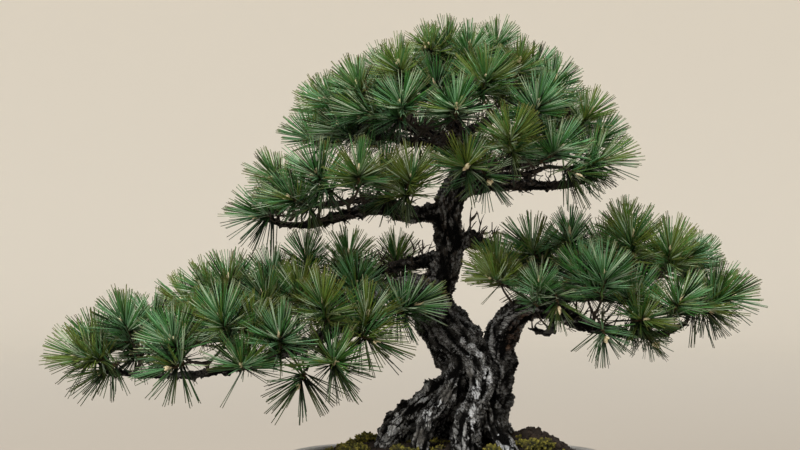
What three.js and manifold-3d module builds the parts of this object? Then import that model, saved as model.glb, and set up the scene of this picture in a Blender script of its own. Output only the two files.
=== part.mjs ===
// A Japanese black pine bonsai: one gnarled trunk with a second stem, three pads of long needles, and a low
// stoneware pot with its soil and drainage screens. Millimetres, +Z up, the tree's front towards -Y.
import * as THREE from "three";
import { mergeVertices } from "three/addons/utils/BufferGeometryUtils.js";
import Module from "manifold-3d";

const wasm = await Module();
wasm.setup();

// Driving sizes

const POT = {
  width: 430, depth: 332, height: 95, baseWidth: 372, squareness: 2.7, sides: 28,
  wall: 10, floor: 9, lip: 15, lipHeight: 12, feet: { size: [54, 30, 14], across: 118, deep: 84 },
};
const DRAIN = { radius: 12, across: 85, sides: 12 };
const SCREEN = { side: 38, thick: 1.6, holes: 2, hole: 11, bar: 4 };
const SOIL = {
  belowRim: 5, mound: 24, moundReach: [172, 122], lump: 20, lumpAt: [117, 18], lumpReach: [40, 30],
  crumb: 1.6, rings: 5,
};
const NEEDLE = { length: 56, steepest: 18, flattest: 104, twist: 22, shortest: 16 };
const SHOOT = { radius: 2.6, bearing: 17, rings: 4, bud: 9, tail: 20, sides: 3, segments: 2, middle: 12 };
const SEAM = 0.35; // between pieces that touch
const CLEAR = 0.6; // kept between needles that pass each other
const THICKEST_PASSED = 20; // radius of the thickest wood that stems and needles pass
const NEEDLE_SEED = 5;
const SPRAY_TUFTS = 3; // most tufts on one spray
const SPRAY_SPAN = 78; // most distance between tufts of one spray

// Places are given as they look from the front: across and up on the upright plane through the pot's
// middle, then how far behind that plane they are. The eye that sees them so:
const EYE = new THREE.Vector3(-61, -2200, 397);

function seen(across, up, behind) {
  const share = (behind - EYE.y) / -EYE.y;
  return new THREE.Vector3(EYE.x + (across - EYE.x) * share, behind, EYE.z + (up - EYE.z) * share);
}

// Limbs of the tree, each a run of [across, up, behind, radius]
const LIMBS = {
  trunk: { sides: 10, step: 18, relief: 0.14, run: [
    [34, 88, 14, 34], [36, 130, 16, 30], [36, 175, 10, 31], [33, 200, 4, 33], [25, 222, 0, 35],
    [13, 243, 0, 35.5], [-4, 264, 0, 33.5], [-16, 284, 0, 27.5], [-15, 308, 0, 22], [-4, 338, 0, 19],
    [4, 364, 0, 18], [3, 387, 0, 17.5], [-1, 407, 0, 18], [3, 428, -2, 18], [13, 448, -4, 15.5],
    [18, 472, -4, 12], [15, 502, -4, 9.5], [9, 532, -4, 8], [8, 562, -6, 6.8], [14, 590, -8, 5.5],
    [12, 610, -8, 4]] },
  second_stem: { sides: 8, step: 19, relief: 0.14, run: [
    [58, 92, 4, 22], [59, 130, 2, 19], [63, 170, 0, 18.5], [68, 205, 0, 19], [68, 232, -1, 21],
    [72, 256, -3, 22], [85, 276, -7, 19], [104, 289, -10, 16.5], [126, 290, -14, 13.5],
    [148, 283, -18, 11], [168, 272, -24, 9.2], [190, 264, -28, 8], [215, 260, -32, 7], [242, 254, -34, 6],
    [266, 254, -34, 5.2], [290, 260, -34, 4.6], [312, 270, -32, 3.8]] },
  burr: { sides: 6, step: 12, relief: 0.17, run: [
    [72, 208, 0, 12], [81, 213, -2, 10], [88, 216, -3, 5]] },
  left_root: { sides: 7, step: 17, relief: 0.17, run: [
    [-84, 88, -14, 12], [-80, 110, -14, 14], [-66, 136, -14, 16.5], [-49, 152, -12, 16.5],
    [-30, 164, -8, 16.5], [-10, 178, -4, 16.5], [10, 198, 0, 18], [22, 222, 0, 19]] },
  front_left_root: { sides: 7, step: 17, relief: 0.17, run: [
    [-38, 88, -58, 10], [-33, 115, -55, 11.5], [-28, 137, -50, 12], [-19, 154, -44, 12.5],
    [-4, 167, -36, 13], [8, 183, -28, 14], [14, 203, -20, 15], [18, 222, -12, 16]] },
  front_root: { sides: 8, step: 15, relief: 0.17, run: [
    [24, 86, -60, 21], [24, 120, -56, 17.5], [25, 138, -52, 17], [29, 149, -49, 15.5],
    [36, 160, -46, 14.5], [42, 172, -43, 15], [45, 186, -40, 15], [44, 202, -36, 14.5],
    [37, 220, -29, 14], [27, 238, -20, 13], [12, 256, -12, 11]] },
  right_root: { sides: 6, step: 15, relief: 0.17, run: [
    [90, 88, -48, 9], [79, 108, -44, 10.5], [66, 124, -38, 11.5], [56, 142, -30, 13], [54, 165, -16, 15]] },
  middle_left_root: { sides: 7, step: 20, relief: 0.14, run: [
    [-60, 86, 34, 18], [-42, 118, 34, 22], [-16, 144, 32, 25], [18, 176, 22, 27]] },
  back_left_root: { sides: 6, step: 20, relief: 0.17, run: [
    [-46, 92, 62, 9], [-22, 120, 46, 13], [8, 152, 28, 17], [26, 180, 14, 20]] },
  back_right_root: { sides: 6, step: 20, relief: 0.17, run: [
    [96, 92, 60, 9], [80, 118, 44, 13], [60, 146, 26, 16], [48, 172, 14, 18]] },
  left_branch: { sides: 6, step: 22, relief: 0.14, run: [
    [-4, 308, 0, 15], [-42, 319, -4, 14.5], [-80, 308, -14, 12.5], [-116, 284, -20, 10.5],
    [-152, 258, -22, 9.5], [-192, 238, -24, 8.5], [-234, 224, -24, 7.8], [-282, 211, -20, 7],
    [-332, 202, -18, 6.2], [-382, 201, -14, 5.4], [-430, 206, -10, 4.4], [-452, 213, -8, 3.6]] },
  left_back_branch: { sides: 5, step: 26, relief: 0.14, run: [
    [0, 345, 0, 10], [-28, 351, 8, 11.5], [-52, 346, 20, 7.5], [-92, 337, 40, 6.5], [-134, 326, 52, 6],
    [-184, 314, 58, 5.5], [-234, 300, 58, 5], [-292, 284, 52, 4.5], [-342, 268, 44, 3.8]] },
  crown_left_low: { sides: 6, step: 21, relief: 0.14, run: [
    [2, 416, 0, 13], [-30, 411, -8, 12], [-56, 411, -18, 10.5], [-82, 420, -28, 9.5], [-112, 416, -34, 8],
    [-146, 406, -36, 6.5], [-180, 397, -36, 5.2], [-214, 398, -32, 4.2], [-234, 404, -30, 3.5]] },
  crown_left_twin: { sides: 5, step: 26, relief: 0.08, run: [
    [-60, 414, -16, 6], [-86, 432, 4, 5], [-120, 428, 14, 4.6], [-156, 424, 22, 4], [-190, 428, 26, 3.4]] },
  crown_left_mid: { sides: 5, step: 22, relief: 0.08, run: [
    [14, 480, -4, 8], [-8, 498, -22, 7], [-36, 506, -38, 6], [-72, 509, -46, 5.4], [-102, 521, -48, 4.8],
    [-136, 534, -44, 3.8]] },
  crown_left_back: { sides: 5, step: 26, relief: 0.08, run: [
    [12, 500, 0, 7], [-22, 516, 28, 5.6], [-66, 528, 58, 5], [-108, 530, 78, 4.2], [-146, 522, 88, 3.4]] },
  crown_right_low: { sides: 6, step: 21, relief: 0.14, run: [
    [12, 440, -2, 13], [44, 450, -20, 10.5], [80, 450, -34, 8.8], [118, 449, -42, 7], [150, 449, -44, 5.6],
    [176, 454, -42, 4.4], [194, 462, -40, 3.6]] },
  crown_right_front: { sides: 5, step: 24, relief: 0.08, run: [
    [17, 456, -4, 8], [42, 460, -44, 6], [74, 460, -76, 5.2], [104, 464, -90, 4.4], [124, 470, -94, 3.6]] },
  crown_right_back: { sides: 5, step: 26, relief: 0.08, run: [
    [16, 470, 0, 8], [48, 472, 36, 6], [88, 474, 66, 5.2], [128, 480, 82, 4.4], [160, 488, 84, 3.5]] },
  crown_right_mid: { sides: 5, step: 25, relief: 0.08, run: [
    [15, 510, -4, 7], [46, 528, -18, 5.6], [86, 540, -26, 5], [126, 548, -26, 4.2], [160, 548, -20, 3.4]] },
  crown_back: { sides: 5, step: 26, relief: 0.08, run: [
    [10, 525, 0, 6.5], [10, 545, 40, 5.4], [2, 552, 80, 4.6], [-6, 546, 112, 3.6]] },
  right_upper_branch: { sides: 6, step: 23, relief: 0.14, run: [
    [8, 364, 0, 9.5], [32, 377, 6, 10], [54, 371, 18, 7], [78, 360, 30, 6.2], [112, 349, 38, 6],
    [152, 347, 40, 5.5], [194, 349, 40, 5], [238, 348, 38, 4.4], [276, 342, 32, 3.6]] },
  right_back_branch: { sides: 5, step: 25, relief: 0.08, run: [
    [124, 290, -10, 8], [150, 300, 20, 6], [186, 302, 48, 5.2], [226, 300, 62, 4.4], [262, 298, 64, 3.5]] },
  snag: { sides: 5, step: 9, relief: 0.14, run: [
    [132, 286, -16, 6], [137, 268, -20, 4.6], [133, 256, -22, 5.4], [118, 260, -24, 3.6],
    [104, 263, -26, 1.6]] },
};

// Needle tufts of the front, each the [across, up, behind] of its middle and the [turn, lift] of the way
// that the shoot points, in degrees: turn is 0 towards the front and 90 to the right, and lift is above the
// level. A sixth number is this tuft's own length of needle.
const TUFTS = {
  left: [
    [-468, 224, -34, -78, 8, 60], [-453, 237, 2, -60, 52], [-416, 262, -16, -40, 62],
    [-414, 236, 34, -70, 25], [-352, 238, -84, -32, 48, 60], [-350, 214, -98, -35, -12, 66],
    [-290, 266, -78, -35, 58, 60], [-266, 212, -104, 0, 16, 60], [-217, 244, -108, 0, 42, 60],
    [-160, 285, -82, -18, 62], [-148, 218, -104, 10, 8, 64], [-188, 198, -82, -20, -38, 66],
    [-106, 268, -72, 30, 60, 60], [-52, 290, -66, 72, 18], [-104, 250, -88, 60, -14, 62],
    [-305, 305, 22, -65, 52], [-284, 312, 6, 0, 78], [-332, 288, 62, -100, 42], [-226, 318, 40, -20, 72],
    [-234, 296, -22, -38, 62], [-183, 346, 58, 0, 78, 48], [-128, 346, 58, 0, 78, 50],
    [-66, 347, 66, 5, 80, 46], [-380, 262, 46, -15, 55], [-252, 258, -62, 15, 50], [-318, 258, -28, 5, 58],
    [-192, 300, -10, 0, 70], [-118, 312, 8, 15, 66], [-438, 212, -26, -62, -26, 60]],
  crown: [
    [-236, 409, -32, -80, 0], [-196, 428, -84, -50, 14], [-165, 457, -92, -36, 36],
    [-114, 459, -120, 0, 46], [-217, 452, -18, -62, 40, 50], [-48, 452, -104, 12, 48],
    [-80, 452, -58, -20, 45], [-146, 552, -42, -70, 26, 50], [-172, 506, -22, -76, 28, 48],
    [-112, 568, -72, -20, 46, 50], [-100, 540, -88, -78, 2], [-60, 593, -80, -15, 52, 50],
    [-76, 588, 16, -45, 54, 50], [-58, 548, -108, -5, 38], [12, 545, -134, 0, 24], [50, 582, -112, 15, 42],
    [28, 616, -60, 8, 58, 46], [0, 620, -34, -10, 70, 46], [-20, 624, -66, -30, 24, 42],
    [115, 545, -112, 15, 44], [83, 505, -140, 0, 42], [138, 490, -116, 35, 28], [194, 478, -58, 70, 12],
    [178, 532, -10, 50, 52, 46], [133, 572, -32, 40, 54, 48], [92, 598, -28, 20, 60, 46],
    [108, 590, 30, 55, 48, 46], [62, 625, -6, 22, 50, 42], [25, 472, -130, 0, 0], [50, 462, -112, 18, -34],
    [152, 470, -72, 52, -14], [190, 502, 12, 62, 40, 50], [-132, 518, -46, -60, 26],
    [-12, 572, -78, -25, 44]],
  right: [
    [64, 325, -62, -48, 22, 46], [66, 338, -34, -22, 62, 52], [112, 362, 8, -42, 52],
    [136, 374, 34, 25, 66, 50], [120, 312, -82, 0, 68, 40], [143, 300, -84, 10, -52, 44],
    [203, 322, -90, -5, 58], [240, 371, -12, 0, 66], [230, 386, 44, 0, 76, 48], [289, 354, -22, 12, 66, 58],
    [300, 350, 6, 70, 24, 52], [299, 291, -86, 25, 42], [354, 300, -20, 76, 16], [346, 306, 18, 45, 52, 48],
    [203, 259, -72, 8, -38, 52], [262, 250, -52, 32, -36, 36], [160, 374, 4, -10, 72, 48],
    [196, 375, 34, 10, 76, 48], [242, 298, -40, 5, 46], [252, 274, -66, 22, 6], [330, 290, -34, 62, -10],
    [178, 324, -52, -22, 58]],
};

// The hidden sides: each pad is a dome, filled at its back by a seeded draw that keeps tufts apart.
const DOMES = {
  left: { middle: [-245, 16, 258], half: [182, 104, 46], rise: 0.26, count: 10, lowest: -6 },
  crown: { middle: [-8, 6, 455], half: [182, 148, 136], rise: 0, count: 15, lowest: 8 },
  right: { middle: [222, 14, 305], half: [116, 102, 48], rise: 0, count: 8, lowest: -4 },
};
const BACK = { seed: 11, apart: 46, behind: 30, tries: 4000, uplift: 0.45 };

// Helpers

function seededDraw(seed) {
  let state = seed >>> 0;
  return () => {
    state = (state + 0x6d2b79f5) >>> 0;
    let t = Math.imul(state ^ (state >>> 15), 1 | state);
    t = (t + Math.imul(t ^ (t >>> 7), 61 | t)) ^ t;
    return ((t ^ (t >>> 14)) >>> 0) / 4294967296;
  };
}

const radians = THREE.MathUtils.degToRad;

// A smooth, repeatable wobble between -1 and 1 for bark and soil.
function wobble(x, y, z) {
  return (Math.sin(x * 1.7 + y * 2.3 + z * 0.9) + Math.sin(x * 0.8 - y * 1.9 + z * 2.6 + 1.3)
    + Math.sin(-x * 2.9 + y * 0.7 + z * 1.6 + 2.1)) / 3;
}

function heading(turn, lift) {
  const level = Math.cos(radians(lift));
  const [across, front] = [Math.sin(radians(turn)), Math.cos(radians(turn))];
  return new THREE.Vector3(across * level, -front * level, Math.sin(radians(lift)));
}

function solidOf(geometry) {
  const bare = geometry.clone();
  bare.deleteAttribute("normal");
  bare.deleteAttribute("uv");
  const merged = mergeVertices(bare, 1e-4);
  return new wasm.Manifold(new wasm.Mesh({
    numProp: 3,
    vertProperties: merged.attributes.position.array,
    triVerts: new Uint32Array(merged.index.array),
  }));
}

function geometryOf(solid) {
  const mesh = solid.getMesh();
  const positions = new Float32Array(mesh.numVert * 3);
  for (let i = 0; i < mesh.numVert; i++) {
    positions.set(mesh.vertProperties.subarray(i * mesh.numProp, i * mesh.numProp + 3), i * 3);
  }
  return new THREE.BufferGeometry()
    .setAttribute("position", new THREE.BufferAttribute(positions, 3))
    .setIndex(new THREE.BufferAttribute(mesh.triVerts, 1));
}

function union(solids) {
  return solids.slice(1).reduce((whole, solid) => whole.add(solid), solids[0]);
}

// The largest body of a solid: a cut can leave a loose scrap, which is dropped.
function largest(solid) {
  return solid.decompose().sort((a, b) => b.volume() - a.volume())[0];
}

// Frames along a run of points, each turned as little as possible from the one before.
function framesAlong(points) {
  const tangents = points.map((point, i) => {
    const before = points[Math.max(i - 1, 0)];
    const after = points[Math.min(i + 1, points.length - 1)];
    return after.clone().sub(before).normalize();
  });
  const side = Math.abs(tangents[0].z) < 0.9 ? new THREE.Vector3(0, 0, 1) : new THREE.Vector3(1, 0, 0);
  let u = side.cross(tangents[0]).normalize();
  return tangents.map((tangent, i) => {
    if (i) u = u.clone().applyQuaternion(new THREE.Quaternion().setFromUnitVectors(tangents[i - 1], tangent));
    return { tangent, u, v: tangent.clone().cross(u) };
  });
}

// A closed tube through rings of vertices. tipOf(ring, side, half) gives the tip of the needle that rises
// from that triangle of the wall, or nothing where the wall is plain. point closes the far end in a tip.
function tubeGeometry(rings, point, tipOf) {
  const positions = [];
  const face = (a, b, c) => positions.push(...a.toArray(), ...b.toArray(), ...c.toArray());
  const wall = (a, b, c, tip) => {
    if (!tip) return face(a, b, c);
    face(a, b, tip);
    face(b, c, tip);
    return face(c, a, tip);
  };
  const sides = rings[0].length;
  for (let i = 0; i + 1 < rings.length; i++) {
    for (let k = 0; k < sides; k++) {
      const [a, b] = [rings[i][k], rings[i][(k + 1) % sides]];
      const [d, c] = [rings[i + 1][k], rings[i + 1][(k + 1) % sides]];
      wall(a, b, c, tipOf && tipOf(i, k, 0));
      wall(a, c, d, tipOf && tipOf(i, k, 1));
    }
  }
  const [first, last] = [rings[0], rings[rings.length - 1]];
  for (let k = 1; k + 1 < sides; k++) face(first[0], first[k + 1], first[k]);
  if (point) for (let k = 0; k < sides; k++) face(last[k], last[(k + 1) % sides], point);
  else for (let k = 1; k + 1 < sides; k++) face(last[0], last[k], last[k + 1]);
  return new THREE.BufferGeometry().setAttribute("position", new THREE.Float32BufferAttribute(positions, 3));
}

function ringsAlong(points, radii, sides, relief = () => 1) {
  return framesAlong(points).map(({ u, v }, i) => Array.from({ length: sides }, (_, k) => {
    const angle = (k / sides) * 2 * Math.PI;
    const reach = radii[i] * relief(points[i], angle);
    return points[i].clone()
      .addScaledVector(u, Math.cos(angle) * reach)
      .addScaledVector(v, Math.sin(angle) * reach);
  }));
}

// Limbs

// Points and radii at even steps along a limb.
function limbLine({ run, step }) {
  const curve = new THREE.CatmullRomCurve3(run.map(([x, z, y]) => seen(x, z, y)), false, "centripetal");
  const count = Math.max(2, Math.round(curve.getLength() / step));
  const shares = Array.from({ length: count + 1 }, (_, i) => curve.getUtoTmapping(i / count));
  return {
    points: shares.map((t) => curve.getPoint(t)),
    radii: shares.map((t) => {
      const place = t * (run.length - 1);
      const i = Math.min(Math.floor(place), run.length - 2);
      return THREE.MathUtils.lerp(run[i][3], run[i + 1][3], place - i);
    }),
  };
}

function limbSolid(limb, grow) {
  const { points, radii } = limbLine(limb);
  const relief = (at, angle) =>
    1 + limb.relief * wobble(at.x / 17 + 1.5 * Math.cos(angle), at.z / 16, 1.5 * Math.sin(angle) + at.y / 19);
  return solidOf(tubeGeometry(ringsAlong(points, radii.map((r) => r + grow), limb.sides, relief)));
}

function treeSolid(grow) {
  return union(Object.values(LIMBS).map((limb) => limbSolid(limb, grow)));
}

// Straight stretches with a radius at each end, for measuring clearance
function stretchesOf(points, radii, owner) {
  return points.slice(1).map((point, i) => (
    { a: points[i], b: point, ra: radii[i], rb: radii[i + 1], owner }));
}

const limbStretches = Object.entries(LIMBS).flatMap(([name, limb]) => {
  const { points, radii } = limbLine(limb);
  return stretchesOf(points, radii.map((r) => r * (1 + limb.relief)), name);
});

// The least gap between two stretches, less their radii where they are nearest.
function gapBetween(p, q) {
  const [d1, d2, r] = [p.b.clone().sub(p.a), q.b.clone().sub(q.a), p.a.clone().sub(q.a)];
  const [a, e, f, c, b] = [d1.dot(d1), d2.dot(d2), d2.dot(r), d1.dot(r), d1.dot(d2)];
  const clamp = (x) => Math.min(1, Math.max(0, x));
  const denominator = a * e - b * b;
  let s = denominator > 1e-9 ? clamp((b * f - c * e) / denominator) : 0;
  let t = (b * s + f) / e;
  if (t < 0 || t > 1) {
    t = clamp(t);
    s = clamp((b * t - c) / a);
  }
  const distance = r.addScaledVector(d1, s).addScaledVector(d2, -t).length();
  return distance - (p.ra + (p.rb - p.ra) * s) - (q.ra + (q.rb - q.ra) * t);
}

// Two stretches nowhere near each other need no exact measure.
function isNear(p, q, margin) {
  return ["x", "y", "z"].every((k) => Math.min(p.a[k], p.b[k]) - margin < Math.max(q.a[k], q.b[k])
    && Math.min(q.a[k], q.b[k]) - margin < Math.max(p.a[k], p.b[k]));
}

function isClear(stretch, others, clearance) {
  const margin = clearance + stretch.ra + THICKEST_PASSED;
  return others.every((other) => !isNear(stretch, other, margin) || gapBetween(stretch, other) > clearance);
}

// Tufts

function frontTufts(pad) {
  return TUFTS[pad].map(([x, z, y, turn, lift, needle]) => {
    const axis = heading(turn, lift);
    const base = seen(x, z, y).addScaledVector(axis, -SHOOT.middle);
    return { pad, base, axis, needle: needle || NEEDLE.length };
  });
}

function backTufts(pad, placed, draw) {
  const { middle, half, rise, count, lowest } = DOMES[pad];
  const found = [];
  for (let n = 0; n < BACK.tries && found.length < count; n++) {
    const turn = 90 + 180 * draw();
    const lift = lowest + (88 - lowest) * Math.sqrt(draw());
    const out = heading(turn, lift);
    const base = new THREE.Vector3(...middle).add(out.clone().multiply(new THREE.Vector3(...half)));
    base.z += (base.x - middle[0]) * rise;
    const axis = out.clone().add(new THREE.Vector3(0, 0, BACK.uplift)).normalize();
    const isApart = [...placed, ...found].every((tuft) => tuft.base.distanceTo(base) > BACK.apart);
    if (base.y > BACK.behind && isApart) found.push({ pad, base, axis, needle: NEEDLE.length });
  }
  return found;
}

function allTufts() {
  const draw = seededDraw(BACK.seed);
  const placed = Object.keys(TUFTS).flatMap(frontTufts);
  for (const pad of Object.keys(TUFTS)) placed.push(...backTufts(pad, placed, draw));
  return placed;
}

// Neighbouring tufts of a pad share a spray.
function spraysOf(tufts) {
  const left = [...tufts].sort((a, b) => Math.abs(b.base.x) - Math.abs(a.base.x));
  const sprays = [];
  while (left.length) {
    const members = [left.shift()];
    while (members.length < SPRAY_TUFTS) {
      const nearest = left
        .filter((tuft) => tuft.pad === members[0].pad)
        .map((tuft) => ({ tuft, far: Math.max(...members.map((m) => m.base.distanceTo(tuft.base))) }))
        .sort((a, b) => a.far - b.far)[0];
      if (!nearest || nearest.far > SPRAY_SPAN) break;
      members.push(nearest.tuft);
      left.splice(left.indexOf(nearest.tuft), 1);
    }
    sprays.push({ pad: members[0].pad, tufts: members });
  }
  return sprays;
}

// Stems

const STEM = { rootRadius: 3.6, forkRadius: 2.6, forkAt: 0.5, sideRadius: 2, clearance: 1.2, candidates: 60 };
const PAD_LIMBS = {
  left: ["left_branch", "left_back_branch"],
  crown: ["trunk", ...Object.keys(LIMBS).filter((name) => name.startsWith("crown"))],
  right: ["second_stem", "right_upper_branch", "right_back_branch"],
};
const CROWN_TRUNK_FROM = 455;

// The stretch of a shoot that bears the needles, and its bud.
function bearingStretches(tuft) {
  const [end, tip] = [SHOOT.bearing, SHOOT.bearing + SHOOT.bud].map((far) =>
    tuft.base.clone().addScaledVector(tuft.axis, far));
  return stretchesOf([tuft.base, end, tip], [SHOOT.radius, SHOOT.radius, 0], tuft);
}

function tailOf(tuft) {
  return tuft.base.clone().addScaledVector(tuft.axis, -SHOOT.tail);
}

// The lines of a spray: the first shoot runs on from the limb, the others fork from it.
function stemLines(spray, root) {
  const tails = spray.tufts.map(tailOf);
  const middle = tails.reduce((sum, tail) => sum.add(tail), new THREE.Vector3()).divideScalar(tails.length);
  const fork = root.clone().lerp(middle, STEM.forkAt);
  const lines = spray.tufts.map((tuft, i) => {
    const curve = new THREE.QuadraticBezierCurve3(fork, tails[i], tuft.base);
    return (i ? [] : [root]).concat(curve.getPoints(SHOOT.segments));
  });
  const radii = lines.map((line, i) => line.map((_, k) => {
    if (i) return k ? SHOOT.radius : STEM.sideRadius;
    return [STEM.rootRadius, STEM.forkRadius][k] || SHOOT.radius;
  }));
  return { lines, radii, stretches: lines.flatMap((line, i) => stretchesOf(line, radii[i], spray.tufts[i])) };
}

// Joins a spray to the nearest limb point from which its stem runs clear of the other wood.
function joinSpray(spray, taken) {
  const middle = spray.tufts.reduce((sum, tuft) => sum.add(tuft.base), new THREE.Vector3())
    .divideScalar(spray.tufts.length);
  const roots = PAD_LIMBS[spray.pad].flatMap((name) => {
    const { points, radii } = limbLine({ ...LIMBS[name], step: 9 });
    return points
      .map((point, i) => ({ point, radius: radii[i], name }))
      .filter(({ point, name: limb }) => limb !== "trunk" || point.z > CROWN_TRUNK_FROM);
  }).sort((a, b) => a.point.distanceTo(middle) - b.point.distanceTo(middle));
  const tried = roots.slice(0, STEM.candidates).map((root) => {
    const made = stemLines(spray, root.point);
    const wood = limbStretches.filter((s) => s.owner !== root.name);
    const bad = made.stretches.filter((s) => !isClear(s, wood, STEM.clearance)
      || !isClear(s, taken, STEM.clearance)).length;
    return { ...made, root, bad };
  });
  const best = tried.find((t) => t.bad === 0) || tried.sort((a, b) => a.bad - b.bad)[0];
  return Object.assign(spray, best);
}

// Needles

// Levels of needles round a shoot open from nearly forward at the bud to slightly backward at the base.
function needleWay(frame, ring, side, half, jitter) {
  const level = ring * 2 + half;
  const lean = NEEDLE.flattest + (NEEDLE.steepest - NEEDLE.flattest) * (level / (SHOOT.rings * 2 - 1));
  const offset = ring % 2 ? NEEDLE.twist : -NEEDLE.twist;
  const round = ((side + (half ? 0.34 : 0.67)) / SHOOT.sides) * 360 + offset;
  const [polar, azimuth] = [radians(lean + jitter.polar), radians(round + jitter.round)];
  return frame.tangent.clone().multiplyScalar(Math.cos(polar))
    .addScaledVector(frame.u, Math.sin(polar) * Math.cos(azimuth))
    .addScaledVector(frame.v, Math.sin(polar) * Math.sin(azimuth));
}

// A needle is turned a little, and then shortened, until it passes clear of everything that is there already.
const TRIES = [0.98, 0.98, 0.98, 0.9, 0.9, 0.8, 0.7, 0.55, 0.42, 0.3];
const NEEDLE_RADIUS = 2.7;

function clearNeedle(frame, foot, tuft, place, taken, draw) {
  for (const share of TRIES) {
    const jitter = { polar: (draw() - 0.5) * 12, round: (draw() - 0.5) * 26 };
    const length = tuft.needle * share * (1 - 0.1 * draw());
    if (length < NEEDLE.shortest) continue;
    const way = needleWay(frame, ...place, jitter);
    const tip = foot.clone().addScaledVector(way, length);
    const start = foot.clone().addScaledVector(way, 1);
    const needle = { a: start, b: tip, ra: NEEDLE_RADIUS, rb: 0.1, owner: tuft };
    if (isClear(needle, taken, CLEAR)) return needle;
  }
  return null;
}

// A shoot with its needles, as one closed geometry.
function shootGeometry(line, radii, tuft, taken, draw) {
  const bearing = Array.from({ length: SHOOT.rings }, (_, i) =>
    tuft.base.clone().addScaledVector(tuft.axis, (SHOOT.bearing * (i + 1)) / SHOOT.rings));
  const points = [...line, ...bearing];
  const rings = ringsAlong(points, [...radii, ...bearing.map(() => SHOOT.radius)], SHOOT.sides);
  const frame = framesAlong(points)[line.length];
  const firstRing = line.length - 1;
  const bud = bearing[SHOOT.rings - 1].clone().addScaledVector(tuft.axis, SHOOT.bud);
  const others = taken.filter((s) => s.owner !== tuft);
  const tips = (ring, side, half) => {
    if (ring < firstRing) return null;
    const [a, b] = [rings[ring][side], rings[ring][(side + 1) % SHOOT.sides]];
    const [d, c] = [rings[ring + 1][side], rings[ring + 1][(side + 1) % SHOOT.sides]];
    const foot = a.clone().add(c).add(half ? d : b).divideScalar(3);
    const needle = clearNeedle(frame, foot, tuft, [ring - firstRing, side, half], others, draw);
    if (!needle) return null;
    taken.push(needle);
    return needle.b;
  };
  return tubeGeometry(rings, bud, tips);
}

function spraySolid(spray, taken, draw) {
  return union(spray.tufts.map((tuft, i) =>
    solidOf(shootGeometry(spray.lines[i], spray.radii[i], tuft, taken, draw))));
}

// Pot

// Sends a round lathe shape to the pot's outline, between an oval and a rectangle.
function squareOff(geometry) {
  const at = geometry.attributes.position;
  for (let i = 0; i < at.count; i++) {
    const [x, z, y] = [at.getX(i), at.getY(i), -at.getZ(i)];
    const [radius, angle] = [Math.hypot(x, y), Math.atan2(y, x)];
    const stretch = (value) => Math.sign(value) * Math.abs(value) ** (2 / POT.squareness);
    const deep = (radius * stretch(Math.sin(angle)) * POT.depth) / POT.width;
    at.setXYZ(i, radius * stretch(Math.cos(angle)), deep, z);
  }
  return geometry;
}

function latheGeometry(profile) {
  return squareOff(new THREE.LatheGeometry(profile.map(([r, z]) => new THREE.Vector2(r, z)), POT.sides));
}

const rimRadius = POT.width / 2;
const footTop = POT.feet.size[2];
const floorTop = footTop + POT.floor;
const innerBase = POT.baseWidth / 2 - POT.wall;
const innerRim = rimRadius - POT.lip;
const wallFrom = floorTop + 3;
const innerRadius = (z) => innerBase + ((innerRim - innerBase) * (z - wallFrom)) / (POT.height - wallFrom);

function boxSolid(size, at) {
  const box = new THREE.BoxGeometry(...size);
  box.translate(...at);
  return solidOf(box);
}

function drainCutter(side) {
  const hole = new THREE.CylinderGeometry(DRAIN.radius, DRAIN.radius, floorTop * 3, DRAIN.sides);
  hole.rotateX(Math.PI / 2);
  hole.translate(side * DRAIN.across, 0, 0);
  return solidOf(hole);
}

function potSolid() {
  const bowl = solidOf(latheGeometry([
    [0, footTop - 4], [POT.baseWidth / 2 - 6, footTop - 4], [POT.baseWidth / 2, footTop + 3],
    [rimRadius - 9, POT.height - POT.lipHeight - 5], [rimRadius, POT.height - POT.lipHeight],
    [rimRadius, POT.height - 2], [rimRadius - 3, POT.height], [innerRim, POT.height],
    [innerBase, wallFrom], [innerBase - 6, floorTop], [0, floorTop]]));
  const [long, wide, high] = POT.feet.size;
  const feet = [[-1, -1], [-1, 1], [1, -1], [1, 1]].map(([x, y]) =>
    boxSolid([long, wide, high], [x * POT.feet.across, y * POT.feet.deep, high / 2]));
  return union([bowl, ...feet]).subtract(drainCutter(-1)).subtract(drainCutter(1));
}

function screenSolid(side) {
  const z = floorTop + SEAM + SCREEN.thick / 2;
  const pitch = SCREEN.hole + SCREEN.bar;
  const steps = Array.from({ length: SCREEN.holes }, (_, i) => (i - (SCREEN.holes - 1) / 2) * pitch);
  const plate = boxSolid([SCREEN.side, SCREEN.side, SCREEN.thick], [side * DRAIN.across, 0, z]);
  const holes = steps.flatMap((x) => steps.map((y) =>
    boxSolid([SCREEN.hole, SCREEN.hole, SCREEN.thick * 3], [side * DRAIN.across + x, y, z])));
  return plate.subtract(union(holes));
}

// Soil

// Height of the soil over the pot: level inside the rim, a broad flat mound, and a lump on the right.
function soilHeight(x, y) {
  const edge = POT.height - SOIL.belowRim;
  const fromMiddle = Math.hypot(x / SOIL.moundReach[0], (y - 8) / SOIL.moundReach[1]);
  const mound = SOIL.mound * Math.exp(-(fromMiddle ** 4));
  const fromLump = [x, y].map((place, k) => (place - SOIL.lumpAt[k]) / SOIL.lumpReach[k]);
  const lump = SOIL.lump * Math.exp(-(fromLump[0] ** 2) - fromLump[1] ** 2);
  return edge + mound + lump + SOIL.crumb * wobble(x / 19, y / 17, 1);
}

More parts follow.
